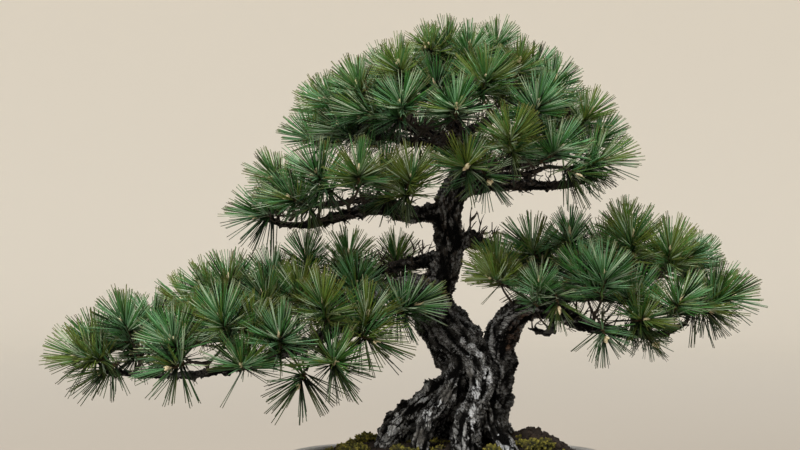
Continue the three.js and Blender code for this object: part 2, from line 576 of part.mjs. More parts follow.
function soilSolid(treeHole) {
  const shoulder = POT.height - SOIL.belowRim - 3;
  const outer = innerRadius(shoulder) - 2 * SEAM;
  const base = innerBase - 2 * SEAM;
  const top = Array.from({ length: SOIL.rings }, (_, i) => [outer * (1 - i / SOIL.rings), 1000 + i]);
  const ground = latheGeometry([
    [0, floorTop + SEAM], [base - 6, floorTop + SEAM], [base, floorTop + 4],
    [outer, shoulder], ...top, [0, 1000 + SOIL.rings]]);
  const at = ground.attributes.position;
  for (let i = 0; i < at.count; i++) {
    if (at.getZ(i) >= 999) at.setZ(i, soilHeight(at.getX(i), at.getY(i)));
  }
  const pocket = (side) => boxSolid(
    [SCREEN.side + 1, SCREEN.side + 1, 2 * (SCREEN.thick + 2 * SEAM)], [side * DRAIN.across, 0, floorTop]);
  return largest(solidOf(ground).subtract(treeHole).subtract(pocket(-1)).subtract(pocket(1)));
}

// Materials and assembly

const MATERIALS = {
  pot: new THREE.MeshStandardMaterial({ color: 0x6f7173, roughness: 0.55, metalness: 0 }),
  screen: new THREE.MeshStandardMaterial({ color: 0x1c1e1d, roughness: 0.6, metalness: 0 }),
  soil: new THREE.MeshStandardMaterial({ color: 0x3a2a1c, roughness: 1, metalness: 0 }),
  bark: new THREE.MeshStandardMaterial({ color: 0x3b332d, roughness: 0.95, metalness: 0 }),
  needles: new THREE.MeshStandardMaterial({ color: 0x2c4f2b, roughness: 0.5, metalness: 0 }),
};

function pieceOf(name, solid, material) {
  const mesh = new THREE.Mesh(geometryOf(solid), MATERIALS[material]);
  mesh.name = name;
  return mesh;
}

function sprayPieces(tree) {
  const draw = seededDraw(NEEDLE_SEED);
  const sprays = spraysOf(allTufts());
  const taken = sprays.flatMap((spray) => spray.tufts.flatMap(bearingStretches));
  for (const spray of sprays) {
    joinSpray(spray, taken.filter((s) => !spray.tufts.includes(s.owner)));
    taken.push(...spray.stretches);
  }
  taken.push(...limbStretches);
  const numbers = { left: 0, crown: 0, right: 0 };
  return sprays.map((spray) => {
    numbers[spray.pad] += 1;
    const solid = largest(spraySolid(spray, taken, draw).subtract(tree));
    return pieceOf(`spray_${spray.pad}_${String(numbers[spray.pad]).padStart(2, "0")}`, solid, "needles");
  });
}

function build() {
  const grownTree = treeSolid(SEAM);
  const bonsai = new THREE.Group();
  bonsai.add(
    pieceOf("pot", potSolid(), "pot"),
    pieceOf("drain_screen_left", screenSolid(-1), "screen"),
    pieceOf("drain_screen_right", screenSolid(1), "screen"),
    pieceOf("soil", soilSolid(grownTree), "soil"),
    pieceOf("tree", treeSolid(0), "bark"),
    ...sprayPieces(grownTree),
  );
  // The origin is the middle of the whole footprint, at the level of the pot's feet.
  const box = new THREE.Box3().setFromObject(bonsai, true);
  const middle = box.getCenter(new THREE.Vector3());
  bonsai.position.set(-middle.x, -middle.y, -box.min.z);
  return new THREE.Group().add(bonsai);
}

export default build();
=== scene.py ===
"""Dresses a Japanese black pine bonsai: bark, twigs, buds, paired needles, soil, moss and a stoneware pot."""

import math
from functools import lru_cache

import bmesh
import bpy
import numpy as np
from bpy.props import FloatProperty, FloatVectorProperty, IntProperty, PointerProperty
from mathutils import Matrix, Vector
from mathutils.bvhtree import BVHTree


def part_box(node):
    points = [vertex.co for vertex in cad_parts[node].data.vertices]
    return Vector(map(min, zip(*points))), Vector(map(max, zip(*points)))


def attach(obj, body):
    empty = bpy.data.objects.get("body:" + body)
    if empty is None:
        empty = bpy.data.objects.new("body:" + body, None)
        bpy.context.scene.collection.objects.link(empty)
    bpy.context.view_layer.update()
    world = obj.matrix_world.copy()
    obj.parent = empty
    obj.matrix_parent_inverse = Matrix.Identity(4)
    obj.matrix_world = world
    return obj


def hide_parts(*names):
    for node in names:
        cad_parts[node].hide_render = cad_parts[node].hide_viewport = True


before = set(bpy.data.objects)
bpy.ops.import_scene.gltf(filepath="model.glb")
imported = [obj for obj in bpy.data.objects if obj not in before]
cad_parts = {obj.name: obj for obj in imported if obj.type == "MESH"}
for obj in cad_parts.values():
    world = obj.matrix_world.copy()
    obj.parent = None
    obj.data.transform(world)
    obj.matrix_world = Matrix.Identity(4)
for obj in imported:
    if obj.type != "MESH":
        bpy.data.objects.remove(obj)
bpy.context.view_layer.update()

bl_info = {
    "name": "Black Pine Bonsai",
    "version": (1, 0, 0),
    "blender": (4, 5, 0),
    "location": "View3D > Sidebar > Bonsai",
    "description": "Grows bark, needles, soil and moss on the frame of a potted black pine",
    "category": "Object",
}

PADS = ("left", "crown", "right")
SPRAYS = {pad: sorted(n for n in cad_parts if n.startswith(f"spray_{pad}_")) for pad in PADS}


# Settings


def count(name, default, description, least=1):
    return IntProperty(name=name, description=description, default=default, min=least)


def length(name, default, description):
    return FloatProperty(
        name=name, description=description, default=default, min=0.0, unit="LENGTH", precision=5
    )


def power(name, default, description):
    return FloatProperty(name=name, description=description, default=default, min=0.0, unit="POWER")


def number(name, default, description):
    return FloatProperty(name=name, description=description, default=default)


def colour(name, default, description):
    return FloatVectorProperty(
        name=name, description=description, default=default, subtype="COLOR", size=3, min=0.0, max=1.0
    )


class NeedleSettings(bpy.types.PropertyGroup):
    pairs: count("Pairs", 108, "Needle pairs on a leading shoot")
    side_pairs: count("Side pairs", 44, "Needle pairs on a side shoot")
    side_shoots: count("Side shoots", 2, "Side shoots behind each leading one", 0)
    side_back: length("Side back", 0.006, "Distance between side shoots along the twig")
    side_reach: number("Side reach", 0.80, "Needle length of a side shoot, as a share of the leading one's")
    side_lean: number("Side lean", 55.0, "Lean of a side shoot from its twig, in degrees")
    bearing: length("Bearing", 0.021, "Length of shoot that bears needles")
    thickness: length("Thickness", 0.00090, "Radius of a needle of the usual length")
    widest: number("Widest", 90.0, "Lean of the lowest needles from the shoot, in degrees")
    narrowest: number("Narrowest", 16.0, "Lean of the needles beside the bud, in degrees")
    bunches: number("Bunches", 3.0, "Bunches that the needles gather in round a shoot")
    gather: number("Gather", 0.38, "How closely they gather, from 0 for an even spread")
    fork: number("Fork", 0.045, "Half the gap between a pair's tips, as a share of their length")
    seed: count("Seed", 3, "Seed of the scatter", 0)
    # Shade is the colour of the darkest needles, and also the painted shade at the needles' feet, on weaker
    # shoots and on hanging needles
    shade: colour("Shade", (0.002, 0.006, 0.002), "Needles at their darkest")
    green: colour("Green", (0.062, 0.214, 0.044), "Needles on the whole")
    blue: colour("Blue green", (0.210, 0.430, 0.228), "Needles with a waxy bloom")
    olive: colour("Olive", (0.200, 0.260, 0.042), "Older needles")
    # Pale is a painted highlight, given to a random few needles
    pale: colour("Pale", (0.590, 0.730, 0.520), "Needles that catch the light")
    droop: number("Droop", 0.86, "Share of the steepest drooping needles that is missing")
    tip: colour("Tips", (0.150, 0.115, 0.040), "Ends of the needles")
    sheath: colour("Sheath", (0.110, 0.075, 0.040), "Papery base of each pair")


class TwigSettings(bpy.types.PropertyGroup):
    bud_length: length("Bud length", 0.0130, "Length of a winter bud")
    bud_radius: length("Bud radius", 0.0036, "Radius of a winter bud")
    buds: count("Buds", 4, "Buds at the end of each shoot")
    twiglets: number("Twiglets", 8600.0, "Crooked twiglets to a square metre of the limbs")
    twiglet: length("Twiglet", 0.030, "Length of a twiglet")
    twiglet_radius: length("Twiglet radius", 0.0012, "Radius of a twiglet at its foot")
    cream: colour("Bud", (0.84, 0.73, 0.48), "Bud scales in the light")
    tan: colour("Bud base", (0.40, 0.25, 0.11), "Bud scales at their base")
    twig: colour("Twig", (0.045, 0.032, 0.022), "Young wood")


class BarkSettings(bpy.types.PropertyGroup):
    cell: length("Cell", 0.0016, "Voxel size of the wood's skin")
    parting: length("Parting", 0.262, "Height at which the skin of the roots meets that of the limbs")
    seed: count("Seed", 4, "Seed of the bark's streaks", 0)
    plate: length("Plate", 0.0085, "Breadth of a bark plate")
    along: number("Along", 0.36, "How far plates are drawn out along the limbs, from 1 for not at all")
    depth: number("Depth", 0.17, "Relief, as a share of the wood's thickness")
    deepest: length("Deepest", 0.0052, "Most relief")
    # Fissure is the colour of the cracks, and also of the painted shade in the hollow between the front roots
    fissure_and_shade: colour("Fissure", (0.0014, 0.0012, 0.0010), "Cracks between plates")
    plate_colour: colour("Plate colour", (0.080, 0.077, 0.071), "Weathered plates")
    warm: colour("Warm", (0.064, 0.050, 0.040), "Plates of the second stem and the upper trunk")
    rust: colour("Rust", (0.125, 0.066, 0.038), "Fresh bark where the second stem turns")
    smooth_root: colour("Smooth root", (0.215, 0.206, 0.190), "Bare wood of the front roots")
    grey: colour("Grey", (0.520, 0.528, 0.530), "Rubbed plates of the roots")
    silver: colour("Silver", (0.86, 0.88, 0.91), "Bleached flakes on the old roots")


class GroundSettings(bpy.types.PropertyGroup):
    grains: number("Grains", 36000.0, "Soil grains to a square metre")
    grain: length("Grain", 0.0024, "Radius of a soil grain")
    cushions: number("Cushions", 9000.0, "Moss lumps to a square metre where moss grows")
    cushion: length("Cushion", 0.0062, "Radius of a moss lump")
    fuzz: length("Fuzz", 0.0120, "Relief of the moss's small shoots")
    soil: colour("Soil", (0.026, 0.015, 0.008), "Damp soil")
    clay: colour("Clay", (0.070, 0.043, 0.025), "Dry grains of baked clay")
    moss: colour("Moss", (0.135, 0.128, 0.012), "Moss in the light")
    moss_tip: colour("Moss tips", (0.520, 0.450, 0.070), "Yellow tips of the moss")
    # Moss shade is the painted shade in the moss's hollows
    moss_shade: colour("Moss shade", (0.012, 0.014, 0.003), "Moss in its hollows")


class PotSettings(bpy.types.PropertyGroup):
    segments: count("Segments", 120, "Facets round the pot", 24)
    squareness: number("Squareness", 2.7, "Exponent of the outline, 2 for an oval")
    clay: colour("Clay", (0.150, 0.152, 0.155), "Fired stoneware")
    worn: colour("Worn clay", (0.400, 0.396, 0.388), "Stoneware on edges that get rubbed")
    soot: colour("Dark clay", (0.070, 0.070, 0.072), "Clouds left by the kiln")


class StudioSettings(bpy.types.PropertyGroup):
    paper: colour("Backdrop", (0.70, 0.66, 0.60), "Pale paper, where it rises behind")
    # Floor is the paper with painted shade on it near the pot
    floor: colour("Floor", (0.198, 0.170, 0.140), "The same paper near the pot")
    glow: colour("Glow", (0.22, 0.205, 0.175), "Light that comes through the paper")
    key: power("Key", 88.0, "Power of the large soft light")
    fill: power("Fill", 12.0, "Power of the light opposite")
    top: power("Top", 66.0, "Power of the light overhead")
    ambient: number("Ambient", 0.17, "Strength of the light from all round")


GROUPS = {
    "bonsai_needles": NeedleSettings,
    "bonsai_twigs": TwigSettings,
    "bonsai_bark": BarkSettings,
    "bonsai_ground": GroundSettings,
    "bonsai_pot": PotSettings,
    "bonsai_studio": StudioSettings,
}


# Node graphs


class Wire:
    """An output of a node. Arithmetic on it adds Math nodes, or Vector Math ones for vectors and colours."""

    def __init__(self, graph, socket):
        self.graph = graph
        self.socket = socket

    def is_vector(self):
        return self.socket.type in {"VECTOR", "RGBA"}

    def calc(self, operation, first, second):
        vector = any(isinstance(term, Wire) and term.is_vector() for term in (first, second))
        if not vector:
            return self.graph.maths(operation, first, second)
        first, second = (t if isinstance(t, (Wire, tuple)) else (t, t, t) for t in (first, second))
        return self.graph.vector_maths(operation, first, second)

    def __add__(self, other):
        return self.calc("ADD", self, other)

    def __radd__(self, other):
        return self.calc("ADD", other, self)

    def __sub__(self, other):
        return self.calc("SUBTRACT", self, other)

    def __rsub__(self, other):
        return self.calc("SUBTRACT", other, self)

    def __mul__(self, other):
        return self.calc("MULTIPLY", self, other)

    def __rmul__(self, other):
        return self.calc("MULTIPLY", other, self)

    def __truediv__(self, other):
        return self.calc("DIVIDE", self, other)

    def __rtruediv__(self, other):
        return self.calc("DIVIDE", other, self)

    def __pow__(self, other):
        return self.calc("POWER", self, other)


SPOT_EDGE = (0.35, 1.15)  # a spot fades out between these shares of its reach


class Graph:
    """A node tree under construction."""

    def __init__(self, tree):
        self.tree = tree

    def put(self, socket, value):
        if isinstance(value, Wire):
            self.tree.links.new(value.socket, socket)
        elif socket.type == "RGBA" and len(value) == 3:
            socket.default_value = (*value, 1.0)
        else:
            socket.default_value = value

    def node(self, kind, inputs=None, out=0, **settings):
        """Adds a node, settings first and then sockets, and returns an output, or the node if out is None."""
        made = self.tree.nodes.new(kind)
        for name, value in settings.items():
            setattr(made, name, value)
        for key, value in (inputs or {}).items():
            if isinstance(key, int):
                self.put(made.inputs[key], value)
            else:
                self.put(next(s for s in made.inputs if s.name == key and s.enabled), value)
        if out is None:
            return made
        if isinstance(out, int):
            return Wire(self, [s for s in made.outputs if s.enabled][out])
        return Wire(self, next(s for s in made.outputs if s.name == out and s.enabled))

    def maths(self, operation, *terms):
        """A Math node on one or two numbers."""
        return self.node("ShaderNodeMath", dict(enumerate(terms)), operation=operation)

    def vector_maths(self, operation, *terms, out=0):
        """A Vector Math node on one or two vectors."""
        return self.node("ShaderNodeVectorMath", dict(enumerate(terms)), out=out, operation=operation)

    def part(self, axis, vector):
        """The X, Y or Z of a vector."""
        return self.node("ShaderNodeSeparateXYZ", {0: vector}, out=axis)

    def smooth(self, value, low, high):
        """0 below low and 1 above high, with a soft step between."""
        return self.node(
            "ShaderNodeMapRange",
            {"Value": value, "From Min": low, "From Max": high},
            interpolation_type="SMOOTHSTEP",
        )

    def mix(self, share, first, second):
        """One colour blended into another."""
        made = self.node("ShaderNodeMix", out=None, data_type="RGBA", clamp_factor=True)
        self.put(made.inputs[0], share)
        self.put(made.inputs[6], first)
        self.put(made.inputs[7], second)
        return Wire(self, made.outputs[2])

    def noise(self, at, scale, detail=3.0, rough=0.55, out="Fac"):
        """Cloudy noise, with so many features to a metre."""
        sockets = {"Vector": at, "Scale": scale, "Detail": detail, "Roughness": rough}
        return self.node("ShaderNodeTexNoise", sockets, out=out)

    def cells(self, at, scale, out="Distance", feature="F1"):
        """Random cells, with so many to a metre."""
        return self.node("ShaderNodeTexVoronoi", {"Vector": at, "Scale": scale}, out=out, feature=feature)

    def near(self, at, spots):
        """1 in the middle of any of the spots and 0 past them all."""
        total = None
        for place, reach in spots:
            offset = (at - tuple(pot_middle() + Vector(place))) / reach
            distance = self.vector_maths("LENGTH", offset, out="Value")
            share = 1.0 - self.smooth(distance, *SPOT_EDGE)
            total = share if total is None else self.maths("MAXIMUM", total, share)
        return total

    def random(self, low, high, seed):
        """A random number, or a random vector where low and high are vectors."""
        kind = "FLOAT_VECTOR" if isinstance(low, tuple) else "FLOAT"
        return self.node("FunctionNodeRandomValue", {"Min": low, "Max": high, "Seed": seed}, data_type=kind)


class GrowTree(Graph):
    """A Geometry Nodes tree with a mesh in, a mesh out and a named input for each size."""

    def __init__(self, name, **sizes):
        super().__init__(bpy.data.node_groups.new(name, "GeometryNodeTree"))
        face = self.tree.interface
        face.new_socket(name="Geometry", in_out="INPUT", socket_type="NodeSocketGeometry")
        face.new_socket(name="Geometry", in_out="OUTPUT", socket_type="NodeSocketGeometry")
        self.sizes = sizes
        for label, value in sizes.items():
            kind = "NodeSocketInt" if isinstance(value, int) else "NodeSocketFloat"
            face.new_socket(name=label, in_out="INPUT", socket_type=kind)
        self.entry = self.tree.nodes.new("NodeGroupInput")
        self.exit = self.tree.nodes.new("NodeGroupOutput")

    def size(self, label):
        return Wire(self, self.entry.outputs[label])

    def named(self, label, kind="FLOAT"):
        return self.node("GeometryNodeInputNamedAttribute", {"Name": label}, data_type=kind)

    def store(self, geometry, label, value, kind="FLOAT"):
        """The geometry with a named value on each of its points."""
        sockets = {"Geometry": geometry, "Name": label, "Value": value}
        return self.node("GeometryNodeStoreNamedAttribute", sockets, data_type=kind, domain="POINT")

    def place(self):
        return self.node("GeometryNodeInputPosition")

    def normal(self):
        return self.node("GeometryNodeInputNormal")

    def moved(self, geometry, **where):
        """The geometry with its points put at a Position or shifted by an Offset."""
        return self.node("GeometryNodeSetPosition", {"Geometry": geometry, **where})

    def copies(self, amount):
        """Each point so many times over, and the number of each copy."""
        sockets = {"Geometry": self.size("Geometry"), "Amount": amount}
        made = self.node("GeometryNodeDuplicateElements", sockets, out=None, domain="POINT")
        return Wire(self, made.outputs[0]), Wire(self, made.outputs["Duplicate Index"])

    def scatter(self, density, seed):
        """Points strewn over the mesh, and the normals of the faces under them."""
        sockets = {"Mesh": self.size("Geometry"), "Density": density, "Seed": seed}
        made = self.node("GeometryNodeDistributePointsOnFaces", sockets, out=None)
        return Wire(self, made.outputs["Points"]), Wire(self, made.outputs["Normal"])

    def pointed(self, way):
        """The rotation that turns upright things to point a given way."""
        return self.node("FunctionNodeAlignRotationToVector", {"Vector": way}, axis="Z")

    def turned(self, rotation, axis, angle):
        """The rotation, followed by a turn about one of its own axes."""
        turn = self.node("FunctionNodeAxisAngleToRotation", {"Axis": axis, "Angle": angle})
        return self.node("FunctionNodeRotateRotation", {0: rotation, 1: turn}, rotation_space="LOCAL")

    def line(self, start, end):
        return self.node("GeometryNodeCurvePrimitiveLine", {"Start": start, "End": end})

    def resampled(self, curve, points):
        return self.node("GeometryNodeResampleCurve", {"Curve": curve, "Count": points})

    def along(self):
        """How far along its curve a point lies, from 0 to 1."""
        return self.node("GeometryNodeSplineParameter", out="Factor")

    def joined(self, *pieces):
        """Several geometries as one."""
        made = self.node("GeometryNodeJoinGeometry", out=None)
        for piece in pieces:
            self.put(made.inputs[0], piece)
        return Wire(self, made.outputs[0])

    def tube(self, curves, sides, width):
        """A closed tube round each curve, width its radius."""
        circle = {"Resolution": sides, "Radius": 1.0}
        section = self.node("GeometryNodeCurvePrimitiveCircle", circle, out="Curve")
        sockets = {"Curve": curves, "Profile Curve": section, "Scale": width, "Fill Caps": True}
        return self.node("GeometryNodeCurveToMesh", sockets)

    def ball(self, divisions):
        sockets = {"Radius": self.size("Radius"), "Subdivisions": divisions}
        return self.node("GeometryNodeMeshIcoSphere", sockets, out="Mesh")

    def instances(self, points, instance, **how):
        """The instance on every point, with its Scale and, where given, its Rotation and Selection."""
        return self.node("GeometryNodeInstanceOnPoints", {"Points": points, "Instance": instance, **how})

    def end(self, geometry, material):
        real = self.node("GeometryNodeRealizeInstances", {"Geometry": geometry})
        done = self.node("GeometryNodeSetMaterial", {"Geometry": real, "Material": material})
        self.put(self.exit.inputs[0], done)

    def grow(self, source, name):
        """The plain mesh object that the tree makes of the source, which is then gone."""
        modifier = source.modifiers.new("grow", "NODES")
        modifier.node_group = self.tree
        for item in self.tree.interface.items_tree:
            if item.in_out == "INPUT" and item.name in self.sizes:
                modifier[item.identifier] = self.sizes[item.name]
        return settle(source, name)


def new_material(name):
    """An empty node material with its output and main shader."""
    material = bpy.data.materials.new(name)
    material.use_nodes = True
    graph = Graph(material.node_tree)
    shader = next(n for n in material.node_tree.nodes if n.type == "BSDF_PRINCIPLED")
    at = graph.node("ShaderNodeTexCoord", out="Object")
    return material, graph, shader, at


def paint(graph, shader, **sockets):
    """Sets the shader's sockets, named with spaces written as underscores."""
    for name, value in sockets.items():
        graph.put(shader.inputs[name.replace("_", " ")], value)


def bump(graph, height, distance, strength=1.0, under=None):
    inputs = {"Height": height, "Distance": distance, "Strength": strength}
    if under is not None:
        inputs["Normal"] = under
    return graph.node("ShaderNodeBump", inputs)


def attribute(graph, name):
    return graph.node("ShaderNodeAttribute", out="Fac", attribute_name=name)


# Meshes


def new_object(name, mesh):
    made = bpy.data.objects.new(name, mesh)
    bpy.context.scene.collection.objects.link(made)
    return made


def settle(source, name):
    """A plain mesh object of what the source's modifiers show; the source is removed."""
    graph = bpy.context.evaluated_depsgraph_get()
    mesh = bpy.data.meshes.new_from_object(
        source.evaluated_get(graph), preserve_all_data_layers=True, depsgraph=graph
    )
    mesh.name = name
    bpy.data.objects.remove(source)
    return new_object(name, mesh)


def finish_piece(piece, material, replaced=(), smooth=True):
    """Gives the piece its finish and smooth or flat faces, puts it under the root body, and hides the frame's
    nodes that it stands for.
    """
    piece.data.materials.clear()
    piece.data.materials.append(material)
    piece.data.polygons.foreach_set("use_smooth", [smooth] * len(piece.data.polygons))
    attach(piece, "root")
    if replaced:
        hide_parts(*replaced)


def reskin(piece, cell, passes=0):
    """Gives the piece a new skin of one voxel size, smoothed so many times."""
    skin = piece.modifiers.new("skin", "REMESH")
    skin.mode, skin.voxel_size = "VOXEL", cell
    if passes:
        soften = piece.modifiers.new("soften", "SMOOTH")
        soften.factor, soften.iterations = 0.5, passes


MERGED = 2e-6  # corners of the frame's loose triangles closer than this are one


def merged_copy(*nodes):
    """One bmesh of the frame's nodes, with their loose triangles joined."""
    mesh = bmesh.new()
    for node in nodes:
        mesh.from_mesh(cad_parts[node].data)
    bmesh.ops.remove_doubles(mesh, verts=mesh.verts, dist=MERGED)
    return mesh


def object_of(name, mesh):
    data = bpy.data.meshes.new(name)
    mesh.to_mesh(data)
    mesh.free()
    return new_object(name, data)


def points_object(name, places, **values):
    """Loose points that carry named values, one number or vector to a point."""
    data = bpy.data.meshes.new(name)
    data.from_pydata([tuple(p) for p in places], [], [])
    for label, rows in values.items():
        rows = np.asarray(rows, np.float32)
        kind, key = ("FLOAT_VECTOR", "vector") if rows.ndim == 2 else ("FLOAT", "value")
        data.attributes.new(label, kind, "POINT").data.foreach_set(key, rows.ravel())
    return new_object(name, data)


def pot_middle():
    """The middle of the pot's footprint, on the table."""
    low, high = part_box("pot")
    return Vector(((low.x + high.x) / 2, (low.y + high.y) / 2, 0.0))


# Shoots, as the frame places them

NEEDLE_LEAST = 0.0115  # an edge of a needle is longer than this
CORE_MOST = 0.0075  # an edge of the shoot that bears needles is shorter than this
SHOOT_LEAST = 8  # a group of fewer needles is no shoot
LONG_NEEDLES = 85  # percentile of its needles' lengths that stands for a shoot's reach


def shortest_edge(vertex):
    return min(edge.calc_length() for edge in vertex.link_edges)


def needle_tips(mesh):
    """Corners of a spray where only needle edges meet."""
    return [v for v in mesh.verts if v.link_edges and shortest_edge(v) > NEEDLE_LEAST]


def joined_feet(feet):
    """Groups of needle feet that short edges join: each is one shoot."""
    groups, seen = [], set()
    for start in sorted(feet, key=lambda v: v.index):
        if start in seen:
            continue
        group, stack = [], [start]
        seen.add(start)
        while stack:
            vertex = stack.pop()
            group.append(vertex)
            for edge in vertex.link_edges:
                other = edge.other_vert(vertex)
                if other in feet and other not in seen and edge.calc_length() < CORE_MOST:
                    seen.add(other)
                    stack.append(other)
        groups.append(group)
    return groups


@lru_cache(maxsize=None)
def shoots(pad):
    """(foot of the needles, way it points, needle length) of each shoot on a pad."""
    found = []
    for node in SPRAYS[pad]:
        mesh = merged_copy(node)
        mesh.verts.index_update()
        feet = {}
        for tip in needle_tips(mesh):
            around = [e.other_vert(tip) for e in tip.link_edges]
            foot = sum((v.co for v in around), Vector()) / len(around)
            for vertex in around:
                feet.setdefault(vertex, []).append((foot, tip.co - foot))
        for group in joined_feet(feet):
            needles = {tuple(way): (foot, way) for vertex in group for foot, way in feet[vertex]}
            if len(needles) < SHOOT_LEAST:
                continue
            at = np.array([foot for foot, _ in needles.values()])
            ways = np.array([way.normalized() for _, way in needles.values()])
            reach = np.percentile([way.length for _, way in needles.values()], LONG_NEEDLES)
            axis = np.linalg.svd(at - at.mean(0))[2][0]
            axis *= np.sign(ways.mean(0) @ axis)
            along = (at - at.mean(0)) @ axis
            found.append((at.mean(0) + axis * along.min(), axis, reach))
        mesh.free()
    return found


# Materials


NEEDLE_FOOT_SHADE = (0.00, 0.42)  # shares of its length between which a needle comes out of the painted shade at its foot
NEEDLE_TIP = (0.84, 1.0)  # between which it turns brown
NEEDLE_SHEATH = (0.02, 0.10)  # and between which the sheath ends
HANGING_SHADE = (-0.10, 0.55)  # how far a needle falls where painted shade starts to darken it, and where that shade is darkest


def darker(tint, share):
    return tuple(share * part for part in tint)


def needle_material(tints):
    """Green that varies by needle and by bunch, with painted shade at the foot, on weaker shoots and on
    needles that hang, and a painted highlight on a random few.
    """
    material, graph, shader, at = new_material("pine_needle")
    tone, shift, along, mood, vigour, bunch, rising = (
        attribute(graph, name) for name in ("tone", "shift", "along", "mood", "vigour", "bunch", "rising")
    )
    drift = graph.noise(at, 14.0)
    tint = graph.mix(graph.smooth(tone, 0.02, 0.50), tints.shade, tints.green)
    aged = graph.smooth(mood * 0.55 + bunch * 1.5 + (shift - 0.5) * 0.35, 0.98, 1.28)
    cool = 1.0 - graph.smooth(mood, 0.25, 0.70) * 0.65
    bloom = tone + (drift - 0.5) * 0.8 + (0.5 - bunch) * 1.8 + (shift - 0.5) * 0.3
    tint = graph.mix(graph.smooth(bloom, 0.42, 0.92) * cool * 0.9, tint, tints.blue)
    tint = graph.mix(aged * 0.8, tint, tints.olive)
    # painted highlight: a random few needles are mixed towards pale green
    tint = graph.mix(graph.smooth(shift + tone * 0.3, 0.86, 1.16) * 0.8, tint, tints.pale)
    # painted shade: each needle is darkened at its foot, less so where it points up
    lit = graph.smooth(along + (tone - 0.5) * 0.3 + rising * 0.16, *NEEDLE_FOOT_SHADE)
    tint = graph.mix(lit, tints.shade, tint)
    tint = graph.mix(graph.smooth(along + (shift - 0.5) * 0.1, *NEEDLE_TIP) * 0.60, tint, tints.tip)
    # painted shade: the lower a shoot's vigour, the darker its needles, and side shoots get the most
    tint = graph.mix((1.0 - vigour) * 1.05, tint, tints.shade)
    # painted shade: needles that hang are darkened
    tint = graph.mix(graph.smooth(rising * -1.0, *HANGING_SHADE) * 0.72, tint, tints.shade)
    tint = graph.mix(graph.smooth(along, *NEEDLE_SHEATH), tints.sheath, tint)
    paint(graph, shader, Base_Color=tint, Roughness=0.38 + 0.20 * tone, Specular_IOR_Level=0.20)
    return material


def twig_material(tints):
    """Brown young wood, rough and flecked dark."""
    material, graph, shader, at = new_material("young_wood")
    rough = graph.noise(at, 420.0, detail=4.0)
    tint = graph.mix(graph.smooth(rough, 0.3, 0.7), darker(tints.twig, 0.35), tints.twig)
    paint(graph, shader, Base_Color=tint, Roughness=0.85, Normal=bump(graph, rough, 0.0009))
    return material


def bud_material(tints):
    """Papery scales, tan at the bud's base and cream above."""
    material, graph, shader, at = new_material("winter_bud")
    along = attribute(graph, "along")
    scales = graph.cells(at, 900.0)
    tint = graph.mix(graph.smooth(along, 0.10, 0.65), tints.tan, tints.cream)
    tint = graph.mix(graph.smooth(scales, 0.35, 0.9) * 0.4, tint, tints.tan)
    paint(graph, shader, Base_Color=tint, Roughness=0.7, Normal=bump(graph, scales, 0.0006))
    return material


# Spots, each a place from the pot's middle and a reach along each axis, in metres

# Flakes that the sun has bleached
BLEACHED = (
    ((0.032, -0.072, 0.156), (0.010, 0.030, 0.024)),
    ((0.036, -0.060, 0.188), (0.009, 0.030, 0.015)),
    ((0.050, -0.052, 0.206), (0.009, 0.030, 0.017)),
    ((0.020, -0.036, 0.250), (0.006, 0.030, 0.006)),
    ((0.030, -0.036, 0.243), (0.007, 0.030, 0.004)),
    ((0.040, -0.036, 0.232), (0.006, 0.030, 0.006)),
    ((0.026, -0.036, 0.231), (0.004, 0.030, 0.004)),
    ((0.068, -0.056, 0.124), (0.010, 0.030, 0.018)),
    ((0.078, -0.052, 0.114), (0.009, 0.030, 0.014)),
    ((-0.034, -0.026, 0.174), (0.010, 0.030, 0.008)),
    ((-0.066, -0.030, 0.149), (0.010, 0.030, 0.010)),
    ((-0.071, -0.030, 0.134), (0.012, 0.030, 0.009)),
    ((-0.014, -0.064, 0.172), (0.009, 0.030, 0.009)),
    ((-0.028, -0.066, 0.158), (0.009, 0.030, 0.012)),
)
# Roots that have lost their bark
BARE = (
    ((-0.003, -0.055, 0.181), (0.015, 0.030, 0.015)),
    ((-0.036, -0.062, 0.129), (0.010, 0.030, 0.013)),
    ((0.026, -0.055, 0.204), (0.008, 0.030, 0.020)),
)
# Old bark that stays brown and dull
BROWN = (
    ((0.082, -0.020, 0.170), (0.022, 0.040, 0.060)),
    ((0.084, -0.016, 0.225), (0.020, 0.040, 0.040)),
    ((-0.020, -0.030, 0.205), (0.022, 0.040, 0.016)),
)
# Painted shade in the hollow between the front roots
HOLLOW_SHADE = (
    ((-0.007, -0.030, 0.128), (0.018, 0.060, 0.024)),
)
# Fresh bark where the second stem turns
RUSTY = (
    ((0.087, -0.014, 0.260), (0.013, 0.030, 0.018)),
    ((0.076, -0.020, 0.244), (0.011, 0.030, 0.014)),
    ((0.100, -0.016, 0.279), (0.012, 0.030, 0.011)),
)


GRAIN_CRACKS = (0.01, 0.085)  # edge of the crackle's cells, from crack to flake
FINE_CRACKS = (0.0, 0.11)  # and of its finer ones
WARM_FROM = (0.25, 0.34)  # heights between which bark turns from the roots' colour to the stems'
WORN_BELOW = (0.22, 0.34)  # and between which it loses its grey
THICK = (0.008, 0.020)  # wood is between these thicknesses where it starts to look old
BARK_REACHES = {"streak": 0.0042, "fibre": 0.0024, "crackle": 0.0022, "speck": 0.0026}  # depths of its bumps


